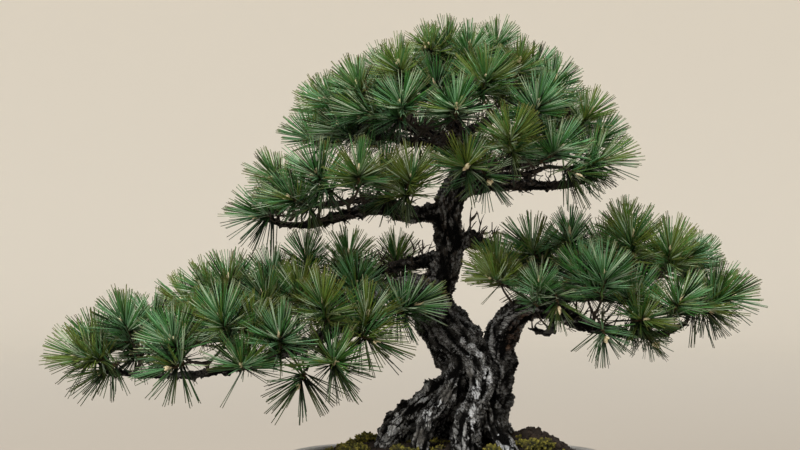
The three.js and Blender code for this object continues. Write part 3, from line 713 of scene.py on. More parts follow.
def bark_material(tints):
    """Dark plates above, and on the roots grey ones with bleached flakes, all drawn out along the limbs, with
    painted shade in the hollow between the front roots.
    """
    material, graph, shader, at = new_material("plated_bark")
    crack, plate, girth, rough, comb = (
        attribute(graph, name) for name in ("crack", "plate", "girth", "rough", "comb")
    )
    grain = graph.node("ShaderNodeAttribute", out="Vector", attribute_name="grain")
    height = graph.part("Z", at)
    streak = graph.noise(grain, 190.0, detail=6.0, rough=0.72)
    fibre = graph.noise(grain, 430.0, detail=4.0, rough=0.65)
    patch = graph.noise(grain, 30.0, detail=3.0)
    speck = graph.noise(at, 430.0, detail=4.0, rough=0.7)
    light = comb * 0.20 + (fibre - 0.5) * 2.8 + (plate - 0.5) * 0.5 + (patch - 0.5) * 1.4
    bent = grain + (graph.noise(grain, 130.0, out="Color") - 0.5) * 0.006
    flakes, fine = (graph.cells(bent, scale, feature="DISTANCE_TO_EDGE") for scale in (150.0, 380.0))
    crackle = graph.smooth(flakes + (speck - 0.5) * 0.16, *GRAIN_CRACKS)
    crackle = crackle * (0.60 + 0.40 * graph.smooth(fine + (speck - 0.5) * 0.2, *FINE_CRACKS))
    dark = darker(tints.plate_colour, 0.22)
    every_place = (BLEACHED, BARE, RUSTY, BROWN, HOLLOW_SHADE)
    bleached, bare, rusty, brown, damp = (graph.near(at, spots) for spots in every_place)
    tint = graph.mix(graph.smooth(height, *WARM_FROM), tints.plate_colour, tints.warm)
    tint = graph.mix(graph.smooth(comb * 0.25 + streak * 1.5, 0.55, 1.05), dark, tint)
    tint = graph.mix(rusty * graph.smooth(streak + comb * 0.1, 0.38, 0.58), tint, tints.rust)
    thick = graph.smooth(girth, *THICK)
    worn = (1.0 - graph.smooth(height, *WORN_BELOW) * 0.55) * thick
    old = worn * (1.0 - rusty * 0.7) * (1.0 - brown * 0.72)
    tint = graph.mix(graph.smooth(light, -0.02, 0.46) * old, tint, tints.grey)
    peeled = bare * graph.smooth(streak + comb * 0.12 + rough * 0.5, 0.40, 0.80)
    tint = graph.mix(peeled, tint, tints.smooth_root)
    tint = graph.mix(graph.smooth(bleached * 1.40 + light * 0.8, 0.72, 0.92) * thick, tint, tints.silver)
    tint = graph.mix(graph.smooth(speck, 0.54, 0.68) * (0.70 - 0.45 * bleached), tint, dark)
    gap = graph.smooth(crack + (rough - 0.5) * 0.8, 0.10, 0.50) * (0.10 + 0.90 * crackle)
    tint = graph.mix(gap + (1.0 - gap) * bare * 0.5, tints.fissure_and_shade, tint)
    # painted shade: the hollow between the front roots is darkened to the cracks' colour
    tint = graph.mix(damp * 0.86, tint, tints.fissure_and_shade)
    normal = None
    for name, relief in (("streak", streak), ("fibre", fibre), ("crackle", crackle), ("speck", speck)):
        normal = bump(graph, relief, BARK_REACHES[name], 1.0, normal)
    roughness = 0.98 - 0.22 * crack
    paint(graph, shader, Base_Color=tint, Roughness=roughness, Normal=normal, Specular_IOR_Level=0.16)
    return material


def soil_material(tints):
    """Damp soil with paler crumbs of clay."""
    material, graph, shader, at = new_material("damp_soil")
    coarse = graph.noise(at, 160.0, detail=5.0, rough=0.65)
    fine = graph.noise(at, 900.0, detail=3.0)
    tint = graph.mix(graph.smooth(coarse, 0.35, 0.72), darker(tints.soil, 0.3), tints.soil)
    tint = graph.mix(graph.smooth(fine, 0.62, 0.80) * 0.5, tint, tints.clay)
    paint(graph, shader, Base_Color=tint, Roughness=0.95, Normal=bump(graph, coarse + fine * 0.4, 0.0030))
    return material


def grain_material(tints):
    """Pitted grains, some of damp soil and some of baked clay."""
    material, graph, shader, at = new_material("soil_grain")
    tone = attribute(graph, "tone")
    pitted = graph.noise(at, 700.0, detail=4.0)
    tint = graph.mix(graph.smooth(tone, 0.45, 1.0), tints.soil, tints.clay)
    tint = graph.mix(graph.smooth(pitted, 0.35, 0.7) * 0.8, darker(tints.soil, 0.4), tint)
    paint(graph, shader, Base_Color=tint, Roughness=0.9, Normal=bump(graph, pitted, 0.0010))
    return material


def moss_material(tints):
    """Moss with painted shade in its hollows, yellow at its tips and brown where it has dried."""
    material, graph, shader, at = new_material("cushion_moss")
    tuft = graph.noise(at, 480.0, detail=5.0, rough=0.75)
    patch = graph.noise(at, 60.0, detail=3.0)
    shoot = attribute(graph, "shoot")
    # painted shade: moss is darkened where its surface sinks
    tint = graph.mix(graph.smooth(shoot + (tuft - 0.5) * 1.0, -0.30, 0.00), tints.moss_shade, tints.moss)
    tips = graph.smooth(shoot + (patch - 0.5) * 0.4 + (tuft - 0.5) * 1.0, -0.06, 0.24)
    tint = graph.mix(tips, tint, tints.moss_tip)
    tint = graph.mix(graph.smooth(patch, 0.50, 0.68) * 0.75, tint, tints.soil)
    paint(graph, shader, Base_Color=tint, Roughness=0.9, Normal=bump(graph, tuft, 0.0040))
    return material


RUBBED_LIP = (0.0895, 0.0945)  # heights between which the lip is rubbed pale
RUBBED_FEET = (0.001, 0.004)  # and between which the feet stop being so


def pot_material(tints):
    """Clouded stoneware with flecks and throwing lines, rubbed pale at its lip and feet."""
    material, graph, shader, at = new_material("grey_stoneware")
    cloud = graph.noise(at, 9.0, detail=4.0)
    fleck = graph.noise(at, 520.0, detail=2.0)
    grit = graph.noise(at, 1400.0, detail=2.0)
    throwing = graph.noise(at * (0.2, 0.2, 1.0), 260.0, detail=2.0)
    tint = graph.mix(graph.smooth(cloud, 0.35, 0.68), tints.soot, tints.clay)
    tint = graph.mix(graph.smooth(fleck, 0.62, 0.74) * 0.6, tint, tints.worn)
    height = graph.part("Z", at)
    lip = graph.smooth(height + (fleck - 0.5) * 0.004, *RUBBED_LIP)
    rubbed = lip + (1.0 - graph.smooth(height, *RUBBED_FEET))
    tint = graph.mix(rubbed * 0.8, tint, tints.worn)
    normal = bump(graph, throwing, 0.0009, 0.5)
    normal = bump(graph, grit, 0.0003, 0.7, normal)
    paint(graph, shader, Base_Color=tint, Roughness=0.46 + 0.22 * cloud, Normal=normal)
    return material


MESH_DARK = (0.010, 0.011, 0.010)
MESH_PALE = (0.022, 0.024, 0.022)


def screen_material():
    """Black plastic with a fine weave."""
    material, graph, shader, at = new_material("moulded_mesh")
    weave = graph.noise(at, 1500.0)
    tint = graph.mix(weave, MESH_DARK, MESH_PALE)
    paint(graph, shader, Base_Color=tint, Roughness=0.5 + 0.2 * weave, Normal=bump(graph, weave, 0.0002))
    return material


# Geometry Nodes trees


FOOT_POINT = (0.0, 0.0, 0.0)
UP = (0.0, 0.0, 1.0)
SIDEWAYS = (1.0, 0.0, 0.0)
FULL_TURN = 6.283  # radians
GOLDEN_ANGLE = 2.399963  # radians from one pair of needles to the next round the shoot
OFF_AXIS = (0.31, 0.27, 0.91)  # a way that shoots don't take, to find one across them
USUAL_NEEDLE = 0.06  # length of the needles that the thickness is given for
BUNCH_SHIFT = 40.0  # how far a shoot's mood turns its bunches
TINT_SHIFT = 37.0  # and how far it moves the noise that tints them


def needle_tree(sizes, material):
    """Pairs of needles round each shoot, from flat at its foot to nearly upright beside the bud."""
    tree = GrowTree(
        "needles",
        Bearing=sizes.bearing, Thickness=sizes.thickness, Widest=sizes.widest,
        Narrowest=sizes.narrowest, Bunches=sizes.bunches, Gather=sizes.gather, Fork=sizes.fork,
        Droop=sizes.droop, Seed=sizes.seed,
    )
    seed, pairs = tree.size("Seed"), tree.named("pairs")
    points, index = tree.copies(pairs)
    share = (index + tree.random(0.0, 1.0, seed)) / pairs
    lean = tree.size("Widest") + (tree.size("Narrowest") - tree.size("Widest")) * share
    lean = (lean + tree.random(-9.0, 9.0, seed + 1)) * (math.pi / 180)
    turn = index * GOLDEN_ANGLE + tree.random(-0.25, 0.25, seed + 2)
    way, mood = tree.named("way", "FLOAT_VECTOR"), tree.named("mood")
    side = tree.vector_maths("NORMALIZE", tree.vector_maths("CROSS_PRODUCT", way, OFF_AXIS))
    across = tree.vector_maths("CROSS_PRODUCT", way, side)
    wave = tree.maths("SINE", turn * tree.size("Bunches") + mood * BUNCH_SHIFT)
    turn = turn + wave * tree.size("Gather")
    out = side * tree.maths("COSINE", turn) + across * tree.maths("SINE", turn)
    aim = way * tree.maths("COSINE", lean) + out * tree.maths("SINE", lean)
    place = tree.place() + way * (tree.size("Bearing") * share * tree.named("vigour"))
    points = tree.moved(points, Position=place)
    points = tree.store(points, "tone", tree.random(0.0, 1.0, seed + 3))
    points = tree.store(points, "shift", tree.random(0.0, 1.0, seed + 6))
    points = tree.store(points, "bunch", tree.noise(aim + mood * TINT_SHIFT, 1.6, detail=1.0))
    rise, fall = tree.part("Z", way), tree.part("Z", aim)
    points = tree.store(points, "rising", fall)
    missing = tree.smooth(fall * -1.0, -0.16, 0.36) * tree.smooth(rise, -0.35, 0.20) * tree.size("Droop")
    lost = tree.maths("LESS_THAN", tree.random(0.0, 1.0, seed + 7), missing)
    rotation = tree.turned(tree.pointed(aim), UP, tree.random(0.0, FULL_TURN, seed + 4))
    reach = tree.named("reach") * tree.random(0.82, 1.03, seed + 5)
    tips = [tree.node("ShaderNodeCombineXYZ", {0: tree.size("Fork") * hand, 2: 1.0}) for hand in (-1.0, 1.0)]
    pair = tree.joined(*(tree.line(FOOT_POINT, tip) for tip in tips))
    along = tree.along()
    width = (tree.size("Thickness") / USUAL_NEEDLE) * (1.08 - 0.45 * along)
    needle = tree.tube(tree.store(pair, "along", along), 3, width)
    grown = tree.instances(points, needle, Selection=1.0 - lost, Rotation=rotation, Scale=reach)
    tree.end(grown, material)
    return tree


def bud_tree(sizes, bearing, material):
    """A cluster of pointed buds at the end of each shoot: one tall and the rest beside it."""
    tree = GrowTree(
        "buds", Length=sizes.bud_length, Radius=sizes.bud_radius, Buds=sizes.buds, Bearing=bearing, Seed=7
    )
    seed = tree.size("Seed")
    points, index = tree.copies(tree.size("Buds"))
    first = tree.maths("LESS_THAN", index, 0.5)
    way = tree.named("way", "FLOAT_VECTOR")
    points = tree.moved(points, Position=tree.place() + way * (tree.size("Bearing") * 1.04))
    rotation = tree.turned(tree.pointed(way), UP, index * 2.6 + tree.random(0.0, 1.2, seed))
    rotation = tree.turned(rotation, SIDEWAYS, (1.0 - first) * tree.random(0.45, 0.85, seed + 1))
    scale = tree.size("Length") * (0.78 + 0.22 * first) * tree.random(0.75, 1.1, seed + 2)
    axis = tree.resampled(tree.line(FOOT_POINT, UP), 7)
    along = tree.along()
    swell = tree.maths("SINE", (along * 0.86 + 0.13) * math.pi)
    width = swell * (1.0 - along * 0.35) * (tree.size("Radius") / tree.size("Length"))
    bud = tree.tube(tree.store(axis, "along", along), 7, width)
    tree.end(tree.instances(points, bud, Rotation=rotation, Scale=scale), material)
    return tree


TWIGLET_LOWEST = 0.245  # twiglets grow only on wood above this height
TWIGLET_THICKEST = 0.020  # and no thicker than this
# Foot and tip of a twiglet's stem and of its fork, as shares of its length
TWIGLET_STEMS = (((0.0, 0.0, -0.1), UP), ((0.0, 0.0, 0.4), (0.32, 0.1, 0.85)))


def twiglet_tree(sizes, lowest, thickest, material):
    """Forked twiglets on the thin limbs, bent by one field of noise so that no two are alike."""
    tree = GrowTree(
        "twiglets", Density=sizes.twiglets, Length=sizes.twiglet, Radius=sizes.twiglet_radius,
        Lowest=lowest, Thickest=thickest, Seed=17,
    )
    seed = tree.size("Seed")
    above = tree.maths("GREATER_THAN", tree.part("Z", tree.place()), tree.size("Lowest"))
    thin = tree.maths("LESS_THAN", tree.named("girth"), tree.size("Thickest"))
    points, out = tree.scatter(tree.size("Density") * above * thin, seed)
    stray = tree.random((-0.7, -0.7, -0.2), (0.7, 0.7, 1.2), seed + 1)
    under = tree.smooth(tree.part("Z", out), -0.6, 0.4)
    lines = tree.joined(*(tree.resampled(tree.line(*ends), 5) for ends in TWIGLET_STEMS))
    width = (tree.size("Radius") / tree.size("Length")) * (1.15 - 0.7 * tree.along())
    scale = tree.size("Length") * tree.random(0.35, 1.15, seed + 2) * (0.4 + 0.6 * under)
    rotation = tree.pointed(out * 0.8 + stray)
    grown = tree.instances(points, tree.tube(lines, 4, width), Rotation=rotation, Scale=scale)
    real = tree.node("GeometryNodeRealizeInstances", {"Geometry": grown})
    sway = (tree.noise(tree.place(), 55.0, detail=1.0, out="Color") - 0.5) * 0.016
    tree.end(tree.moved(real, Offset=sway), material)
    return tree


WOOD_HEART = (0.010, 0.0, 0.262)  # where roots and stems part, from the pot's middle
HEART_REACH = (0.04, 0.12, 0.20)  # least, even and most distance from it in the bark's scale
GIRTH_BLUR = 12  # passes that even out the wood's thickness
SPUR = 0.0052  # height of the knots on thin limbs
BURR = 0.0110  # and of the burrs on the old wood
SLIM_LEAST = 0.05  # least share of its thickness by which the low left limb is drawn in
SLIM_MORE = 0.12  # and how much more where it is drawn in most
# Where the low left limb is drawn in
SLIMMED = (
    ((-0.345, -0.020, 0.203), (0.085, 0.090, 0.024)),
)
# Where the burrs stand
BURRS = (
    ((0.090, -0.020, 0.216), (0.012, 0.030, 0.013)),
    ((0.078, -0.020, 0.172), (0.010, 0.030, 0.012)),
    ((-0.020, -0.010, 0.190), (0.016, 0.030, 0.010)),
    ((-0.023, 0.000, 0.352), (0.013, 0.030, 0.011)),
    ((0.033, 0.000, 0.380), (0.014, 0.030, 0.011)),
    ((-0.028, 0.000, 0.430), (0.012, 0.030, 0.010)),
)


def bark_tree(sizes, heart, material):
    """Plates between deep fissures, drawn out along limbs that spread from the heart."""
    tree = GrowTree("bark", Plate=sizes.plate, Depth=sizes.depth, Deepest=sizes.deepest, Along=sizes.along)
    at = tree.place()
    from_heart = at - tuple(heart)
    least, even, most = HEART_REACH
    distance = tree.vector_maths("LENGTH", from_heart, out="Value")
    distance = tree.node("ShaderNodeClamp", {"Value": distance, "Min": least, "Max": most})
    grain = from_heart * ((distance / even) ** (tree.size("Along") - 1.0))
    warp = tree.noise(grain, 46.0, detail=3.0, out="Color")
    curl = tree.noise(grain, 170.0, detail=2.0, out="Color")
    bent = grain + (warp - 0.5) * 0.020 + (curl - 0.5) * 0.007
    scale = 1.0 / tree.size("Plate")
    edge = tree.cells(bent, scale, feature="DISTANCE_TO_EDGE")
    plate = tree.part("X", tree.cells(bent, scale, out="Color"))
    small = tree.cells(bent, scale * 2.7, feature="DISTANCE_TO_EDGE")
    ragged = tree.noise(bent, 280.0, detail=5.0, rough=0.7)
    knotty = tree.noise(at, 62.0, detail=3.0)
    bumpy = tree.noise(at, 150.0, detail=3.0)
    comb, fine = tree.named("comb"), tree.named("fine_comb")
    across = (tree.smooth(edge + (ragged - 0.5) * 0.4, 0.0, 0.20) - 1.0) * 1.1
    crack = tree.smooth(comb + across + (ragged - 0.5) * 1.6, -1.10, -0.25)
    relief = crack * 0.80 + tree.smooth(fine, -1.0, 1.0) * 0.30 + tree.smooth(small, 0.0, 0.3) * 0.25 - 0.82
    relief = relief + (ragged - 0.5) * 1.0 + (knotty - 0.5) * 2.2 + (bumpy - 0.5) * 1.6
    blurred = {"Value": tree.named("girth"), "Iterations": GIRTH_BLUR}
    girth = tree.node("GeometryNodeBlurAttribute", blurred, data_type="FLOAT")
    spur = tree.smooth(tree.noise(at, 105.0, detail=2.0), 0.54, 0.74)
    spur = spur * (1.0 - tree.smooth(girth, 0.012, 0.026))
    burr = tree.near(at, BURRS) * tree.smooth(tree.noise(at, 120.0, detail=4.0, rough=0.7), 0.30, 0.70)
    thinned = tree.smooth(tree.noise(at, 75.0, detail=2.0), 0.42, 0.58) * SLIM_MORE + SLIM_LEAST
    slim = tree.near(at, SLIMMED) * girth * thinned
    height = tree.maths("MINIMUM", girth * tree.size("Depth"), tree.size("Deepest"))
    skin = tree.size("Geometry")
    for label, value in (("crack", crack), ("plate", plate), ("girth", girth), ("rough", ragged)):
        skin = tree.store(skin, label, value)
    skin = tree.store(skin, "grain", grain, "FLOAT_VECTOR")
    raised = height * relief + spur * SPUR + burr * BURR - slim
    tree.end(tree.moved(skin, Offset=tree.normal() * raised), material)
    return tree


MOSS_RISE = 0.004  # how far the thickest moss stands above the soil
# Where moss stands thickest, at the roots' feet
MOSSY = (
    ((-0.056, -0.072, 0.112), (0.022, 0.020, 0.03)),
    ((0.062, -0.074, 0.110), (0.024, 0.018, 0.03)),
    ((0.098, -0.034, 0.114), (0.022, 0.022, 0.03)),
    ((0.120, -0.026, 0.108), (0.018, 0.016, 0.03)),
    ((-0.124, -0.034, 0.104), (0.026, 0.030, 0.02)),
    ((-0.100, 0.050, 0.112), (0.034, 0.030, 0.03)),
    ((0.030, 0.088, 0.110), (0.040, 0.024, 0.03)),
)
# Where a mound of crumbs stays bare
CRUMBLY = (
    ((0.112, 0.018, 0.124), (0.036, 0.028, 0.024)),
    ((0.148, 0.018, 0.112), (0.024, 0.024, 0.022)),
    ((0.172, 0.000, 0.108), (0.024, 0.050, 0.022)),
)


def grain_tree(sizes, top, material):
    """Angular grains scattered over the top of the soil."""
    tree = GrowTree("grains", Density=sizes.grains, Radius=sizes.grain, Top=top, Seed=5)
    seed = tree.size("Seed")
    facing = tree.maths("GREATER_THAN", tree.part("Z", tree.normal()), 0.55)
    above = tree.maths("GREATER_THAN", tree.part("Z", tree.place()), tree.size("Top"))
    points, _ = tree.scatter(tree.size("Density") * facing * above, seed)
    points = tree.store(points, "tone", tree.random(0.0, 1.0, seed + 1))
    crumbs = tree.near(tree.place(), CRUMBLY)
    spin = tree.random((-3.1, -3.1, -3.1), (3.1, 3.1, 3.1), seed + 2)
    stretch = tree.random((0.6, 0.6, 0.5), (1.5, 1.3, 1.1), seed + 3)
    grown = tree.instances(points, tree.ball(1), Rotation=spin, Scale=stretch * (1.0 + crumbs * 2.0))
    tree.end(grown, material)
    return tree


def fuzz_tree(depth, material):
    """Roughens the moss into its small upright shoots."""
    tree = GrowTree("fuzz", Depth=depth)
    at = tree.place()
    crowded = at + (tree.noise(at, 190.0, out="Color") - 0.5) * 0.004
    tufts = tree.cells(crowded, 240.0)
    shoots_of_moss = (tree.noise(at, 420.0, detail=3.0, rough=0.72) - 0.48) * 0.9 + (0.34 - tufts) * 0.75
    skin = tree.store(tree.size("Geometry"), "shoot", shoots_of_moss)
    offset = tree.normal() * (shoots_of_moss * tree.size("Depth"))
    tree.end(tree.moved(skin, Offset=offset), material)
    return tree


def moss_tree(sizes, top, material):
    """Lumps of moss that crowd together in patches; a skin over them makes the cushions."""
    tree = GrowTree("moss", Density=sizes.cushions, Radius=sizes.cushion, Top=top, Seed=9)
    seed, at = tree.size("Seed"), tree.place()
    facing = tree.maths("GREATER_THAN", tree.part("Z", tree.normal()), 0.6)
    above = tree.maths("GREATER_THAN", tree.part("Z", at), tree.size("Top"))
    thick = tree.near(at, MOSSY)
    patch = tree.smooth(tree.noise(at, 22.0, detail=2.0), 0.50, 0.60) * (1.0 - tree.near(at, CRUMBLY))
    patch = tree.maths("MAXIMUM", patch, thick)
    points, _ = tree.scatter(tree.size("Density") * facing * above * patch, seed)
    points = tree.moved(points, Offset=tree.node("ShaderNodeCombineXYZ", {2: thick * MOSS_RISE}))
    flat = tree.node("ShaderNodeCombineXYZ", {0: 1.0, 1: 1.0, 2: 0.80})
    scale = flat * (tree.random(0.30, 1.10, seed + 1) * (1.0 + 1.0 * thick))
    tree.end(tree.instances(points, tree.ball(2), Scale=scale), material)
    return tree


# Operators


COMB_CELL = 0.012  # side of the cells in which the wood's way is worked out
COMB_REACH = 0.014  # how far round a cell its neighbours count
COMB_POWER = 12  # how strictly streaks keep to that way
COMB_LEAST = 1e-4  # and how much a corner off it still counts
COMBS = {"comb": 34, "fine_comb": 8}  # passes of each set of streaks


def limb_ways(places, normals):
    """The way that the wood runs at each place: the one that the normals round about face least."""
    _, cell = np.unique(np.floor(places / COMB_CELL).astype(int), axis=0, return_inverse=True)
    cell = cell.ravel()
    size = np.bincount(cell)
    middles = np.stack([np.bincount(cell, places[:, k]) / size for k in range(3)], axis=1)
    axes = [(i, j) for i in range(3) for j in range(3)]
    facing = np.stack([np.bincount(cell, normals[:, i] * normals[:, j]) for i, j in axes], axis=1)
    square = (middles ** 2).sum(axis=1)
    apart = square[:, None] + square[None] - 2 * middles @ middles.T
    facing = np.exp(-apart / (2 * COMB_REACH ** 2)) @ facing
    ways = np.linalg.eigh(facing.reshape(-1, 3, 3))[1][:, :, 0]
    return ways[cell]


def combed(mesh, passes, seed):
    """Random numbers on the corners of a mesh of quads, drawn out into streaks that run along the limbs."""
    amount = len(mesh.vertices)
    places, normals = np.empty(amount * 3), np.empty(amount * 3)
    mesh.vertices.foreach_get("co", places)
    mesh.vertex_normals.foreach_get("vector", normals)
    places, normals = places.reshape(-1, 3), normals.reshape(-1, 3)
    ways = limb_ways(places, normals)
    corners = np.empty(len(mesh.loops), int)
    mesh.loops.foreach_get("vertex_index", corners)
    quads = corners.reshape(-1, 4)
    first = np.concatenate([quads[:, k] for k in (0, 1, 0, 1)])
    second = np.concatenate([quads[:, k] for k in (1, 2, 2, 3)])
    step = places[second] - places[first]
    step /= np.linalg.norm(step, axis=1)[:, None] + 1e-9
    aligned = (abs((step * ways[first]).sum(axis=1)) + abs((step * ways[second]).sum(axis=1))) / 2
    share = aligned ** COMB_POWER + COMB_LEAST
    total = np.bincount(first, share, amount) + np.bincount(second, share, amount)
    values = np.random.default_rng(seed).normal(size=amount)
    for _ in range(passes):
        drawn = np.bincount(first, share * values[second], amount)
        drawn = drawn + np.bincount(second, share * values[first], amount)
        values = (values + drawn / total) / 2
    return (values - values.mean()) / values.std()


PROBE = 1e-3  # how far under the skin the wood's thickness is measured from
GIRTH_MOST = 0.08  # and the thickest that it is taken for
WOOD_PASSES = 6  # passes that smooth the wood's skin


class BONSAI_OT_wood(bpy.types.Operator):
    """Skins the roots, stems and limbs with plated bark"""

    bl_idname = "bonsai.wood"
    bl_label = "Bark the wood"

    def execute(self, context):
        sizes = context.scene.bonsai_bark
        core = merged_copy("tree")
        solid = BVHTree.FromBMesh(core)
        skin = object_of("wood_core", core)
        reskin(skin, sizes.cell, WOOD_PASSES)
        skin = settle(skin, "wood_skin")
        mesh = skin.data
        girth = np.empty(len(mesh.vertices), np.float32)
        for i, vertex in enumerate(mesh.vertices):
            start = vertex.co - vertex.normal * PROBE
            distance = solid.ray_cast(start, -vertex.normal)[3]
            girth[i] = min(distance or 0.0, GIRTH_MOST) + PROBE
        mesh.attributes.new("girth", "FLOAT", "POINT").data.foreach_set("value", girth)
        for k, (label, passes) in enumerate(COMBS.items()):
            streaks = combed(mesh, passes, sizes.seed + k).astype(np.float32)
            mesh.attributes.new(label, "FLOAT", "POINT").data.foreach_set("value", streaks)
        material = bark_material(sizes)
        wood = bark_tree(sizes, pot_middle() + Vector(WOOD_HEART), material).grow(skin, "wood")
        for name, is_upper in (("wood_roots", False), ("wood_limbs", True)):
            half = bmesh.new()
            half.from_mesh(wood.data)
            others = [f for f in half.faces if (f.calc_center_median().z > sizes.parting) != is_upper]
            bmesh.ops.delete(half, geom=others, context="FACES")
            finish_piece(object_of(name, half), material, ["tree"])
        bpy.data.objects.remove(wood)
        return {"FINISHED"}


class BONSAI_OT_twigs(bpy.types.Operator):
    """Rounds the twigs that carry the shoots, and sets buds on their ends"""

    bl_idname = "bonsai.twigs"
    bl_label = "Grow twigs and buds"

    def execute(self, context):
        sizes, needles = context.scene.bonsai_twigs, context.scene.bonsai_needles
        every = [node for pad in PADS for node in SPRAYS[pad]]
        mesh = merged_copy(*every)
        bmesh.ops.delete(mesh, geom=needle_tips(mesh), context="VERTS")
        bmesh.ops.holes_fill(mesh, edges=[e for e in mesh.edges if e.is_boundary], sides=6)
        twigs = object_of("twig_core", mesh)
        rounded = twigs.modifiers.new("rounded", "SUBSURF")
        rounded.levels = rounded.render_levels = 1
        finish_piece(settle(twigs, "twigs"), twig_material(sizes), every)
        found = [shoot for pad in PADS for shoot in shoots(pad)]
        places, ways, _ = zip(*found)
        seeds = points_object("bud_places", places, way=ways)
        material = bud_material(sizes)
        buds = bud_tree(sizes, needles.bearing, material).grow(seeds, "buds")
        finish_piece(buds, material)
        seat = new_object("twiglet_seat", bpy.data.objects["wood_limbs"].data.copy())
        brown = twig_material(sizes)
        twiglets = twiglet_tree(sizes, TWIGLET_LOWEST, TWIGLET_THICKEST, brown).grow(seat, "twiglets")
        finish_piece(twiglets, brown)
        return {"FINISHED"}


SPARSE_BELOW = -0.08  # a shoot whose way falls more than this bears few needles
SPARSE_SHARE = 0.36  # and this is their share
VIGOUR_AND_SHADE = (0.80, 1.0)  # least and most vigour of a leading shoot, which sets how far along it its needles stand and how much painted shade darkens them: the lower, the darker
SIDE_VIGOUR_AND_SHADE = 0.58  # and vigour of a side shoot, whose needles get more painted shade
SIDE_LEANS = (0.7, 1.2)  # least and most lean of a side shoot, as shares of the set one


class BONSAI_OT_needles(bpy.types.Operator):
    """Grows paired needles on every shoot, pad by pad"""

    bl_idname = "bonsai.needles"
    bl_label = "Grow needles"

    def execute(self, context):
        sizes = context.scene.bonsai_needles
        material = needle_material(sizes)
        tree = needle_tree(sizes, material)
        draw = np.random.default_rng(sizes.seed)
        for pad in PADS:
            rows = []
            for place, way, reach in shoots(pad):
                rising = way[2] > SPARSE_BELOW
                pairs = round(sizes.pairs * (1.0 if rising else SPARSE_SHARE))
                rows.append((place, way, reach, pairs, draw.uniform(*VIGOUR_AND_SHADE), draw.random()))
                sides = [self.side_shoot(sizes, rows[-1], k, draw) for k in range(sizes.side_shoots)]
                rows += sides if rising else []
            labels = ("way", "reach", "pairs", "vigour", "mood")
            places, *values = (np.array(column) for column in zip(*rows))
            seeds = points_object(f"{pad}_places", places, **dict(zip(labels, values)))
            needles = tree.grow(seeds, f"needles_{pad}")
            finish_piece(needles, material, SPRAYS[pad])
        return {"FINISHED"}

    @staticmethod
    def side_shoot(sizes, leader, k, draw):
        """A weaker shoot that leans out of the twig behind its leader."""
        place, way, reach, _, _, mood = leader
        out = draw.normal(size=3)
        out -= way * (out @ way)
        out /= np.linalg.norm(out)
        lean = math.radians(sizes.side_lean * draw.uniform(*SIDE_LEANS))
        aim = way * math.cos(lean) + out * math.sin(lean)
        back = sizes.side_back * (k + 1)
        return place - way * back, aim, reach * sizes.side_reach, sizes.side_pairs, SIDE_VIGOUR_AND_SHADE, mood


SOIL_CELL, SOIL_PASSES = 0.0042, 5  # voxel size of the soil's skin, and passes that smooth it
MOSS_CELL = 0.0015  # voxel size of the moss's skin
GRAINS_FROM = 0.016  # how far below the rim the soil's grains start
MOSS_FROM = 0.004  # and how far above that the moss does
DIP = 0.008  # how far the soil drops at the pot's ends
DIP_FOOT, DIP_RISE = 0.6, 0.2  # height where the drop starts, and how soon it is full, as shares of the pot's
DIP_FROM, DIP_FULL = 0.62, 0.84  # where the drop starts and is complete, as shares of the pot's half width


class BONSAI_OT_ground(bpy.types.Operator):
    """Lays the soil, its loose grains and the moss"""

    bl_idname = "bonsai.ground"
    bl_label = "Lay soil and moss"

    def execute(self, context):
        sizes = context.scene.bonsai_ground
        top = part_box("pot")[1].z - GRAINS_FROM
        bed = object_of("soil_core", merged_copy("soil"))
        reskin(bed, SOIL_CELL, SOIL_PASSES)
        soil = settle(bed, "soil_bed")
        self.dip(soil.data.vertices)
        grains, moss = grain_material(sizes), moss_material(sizes)
        seat = new_object("grain_seat", soil.data.copy())
        loose = grain_tree(sizes, top, grains).grow(seat, "soil_grains")
        finish_piece(loose, grains, smooth=False)
        seat = new_object("moss_seat", soil.data.copy())
        lumps = moss_tree(sizes, top + MOSS_FROM, moss).grow(seat, "moss_lumps")
        reskin(lumps, MOSS_CELL)
        cushions = fuzz_tree(sizes.fuzz, moss).grow(settle(lumps, "moss_skin"), "moss")
        finish_piece(cushions, moss)
        finish_piece(soil, soil_material(sizes), ["soil"])
        return {"FINISHED"}

    @staticmethod
    def dip(corners):
        """Lowers the soil's surface towards the two ends of the pot, so that the rim stands clear of it."""
        low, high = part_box("pot")
        middle, half = (low.x + high.x) / 2, (high.x - low.x) / 2
        for corner in corners:
            out = (abs(corner.co.x - middle) / half - DIP_FROM) / (DIP_FULL - DIP_FROM)
            above = (corner.co.z - high.z * DIP_FOOT) / (high.z * DIP_RISE)
            corner.co.z -= DIP * min(max(out, 0.0), 1.0) * min(max(above, 0.0), 1.0)


def pot_ring(half, squareness, segments, radius, z):
    """Points round the pot at one height, on an outline between an oval and a rectangle."""
    points = []
    for k in range(segments):
        angle = 2 * math.pi * k / segments
        x, y = (math.copysign(abs(t) ** (2 / squareness), t) for t in (math.cos(angle), math.sin(angle)))
        points.append((radius * x, radius * y * half.y / half.x, z))
    return points


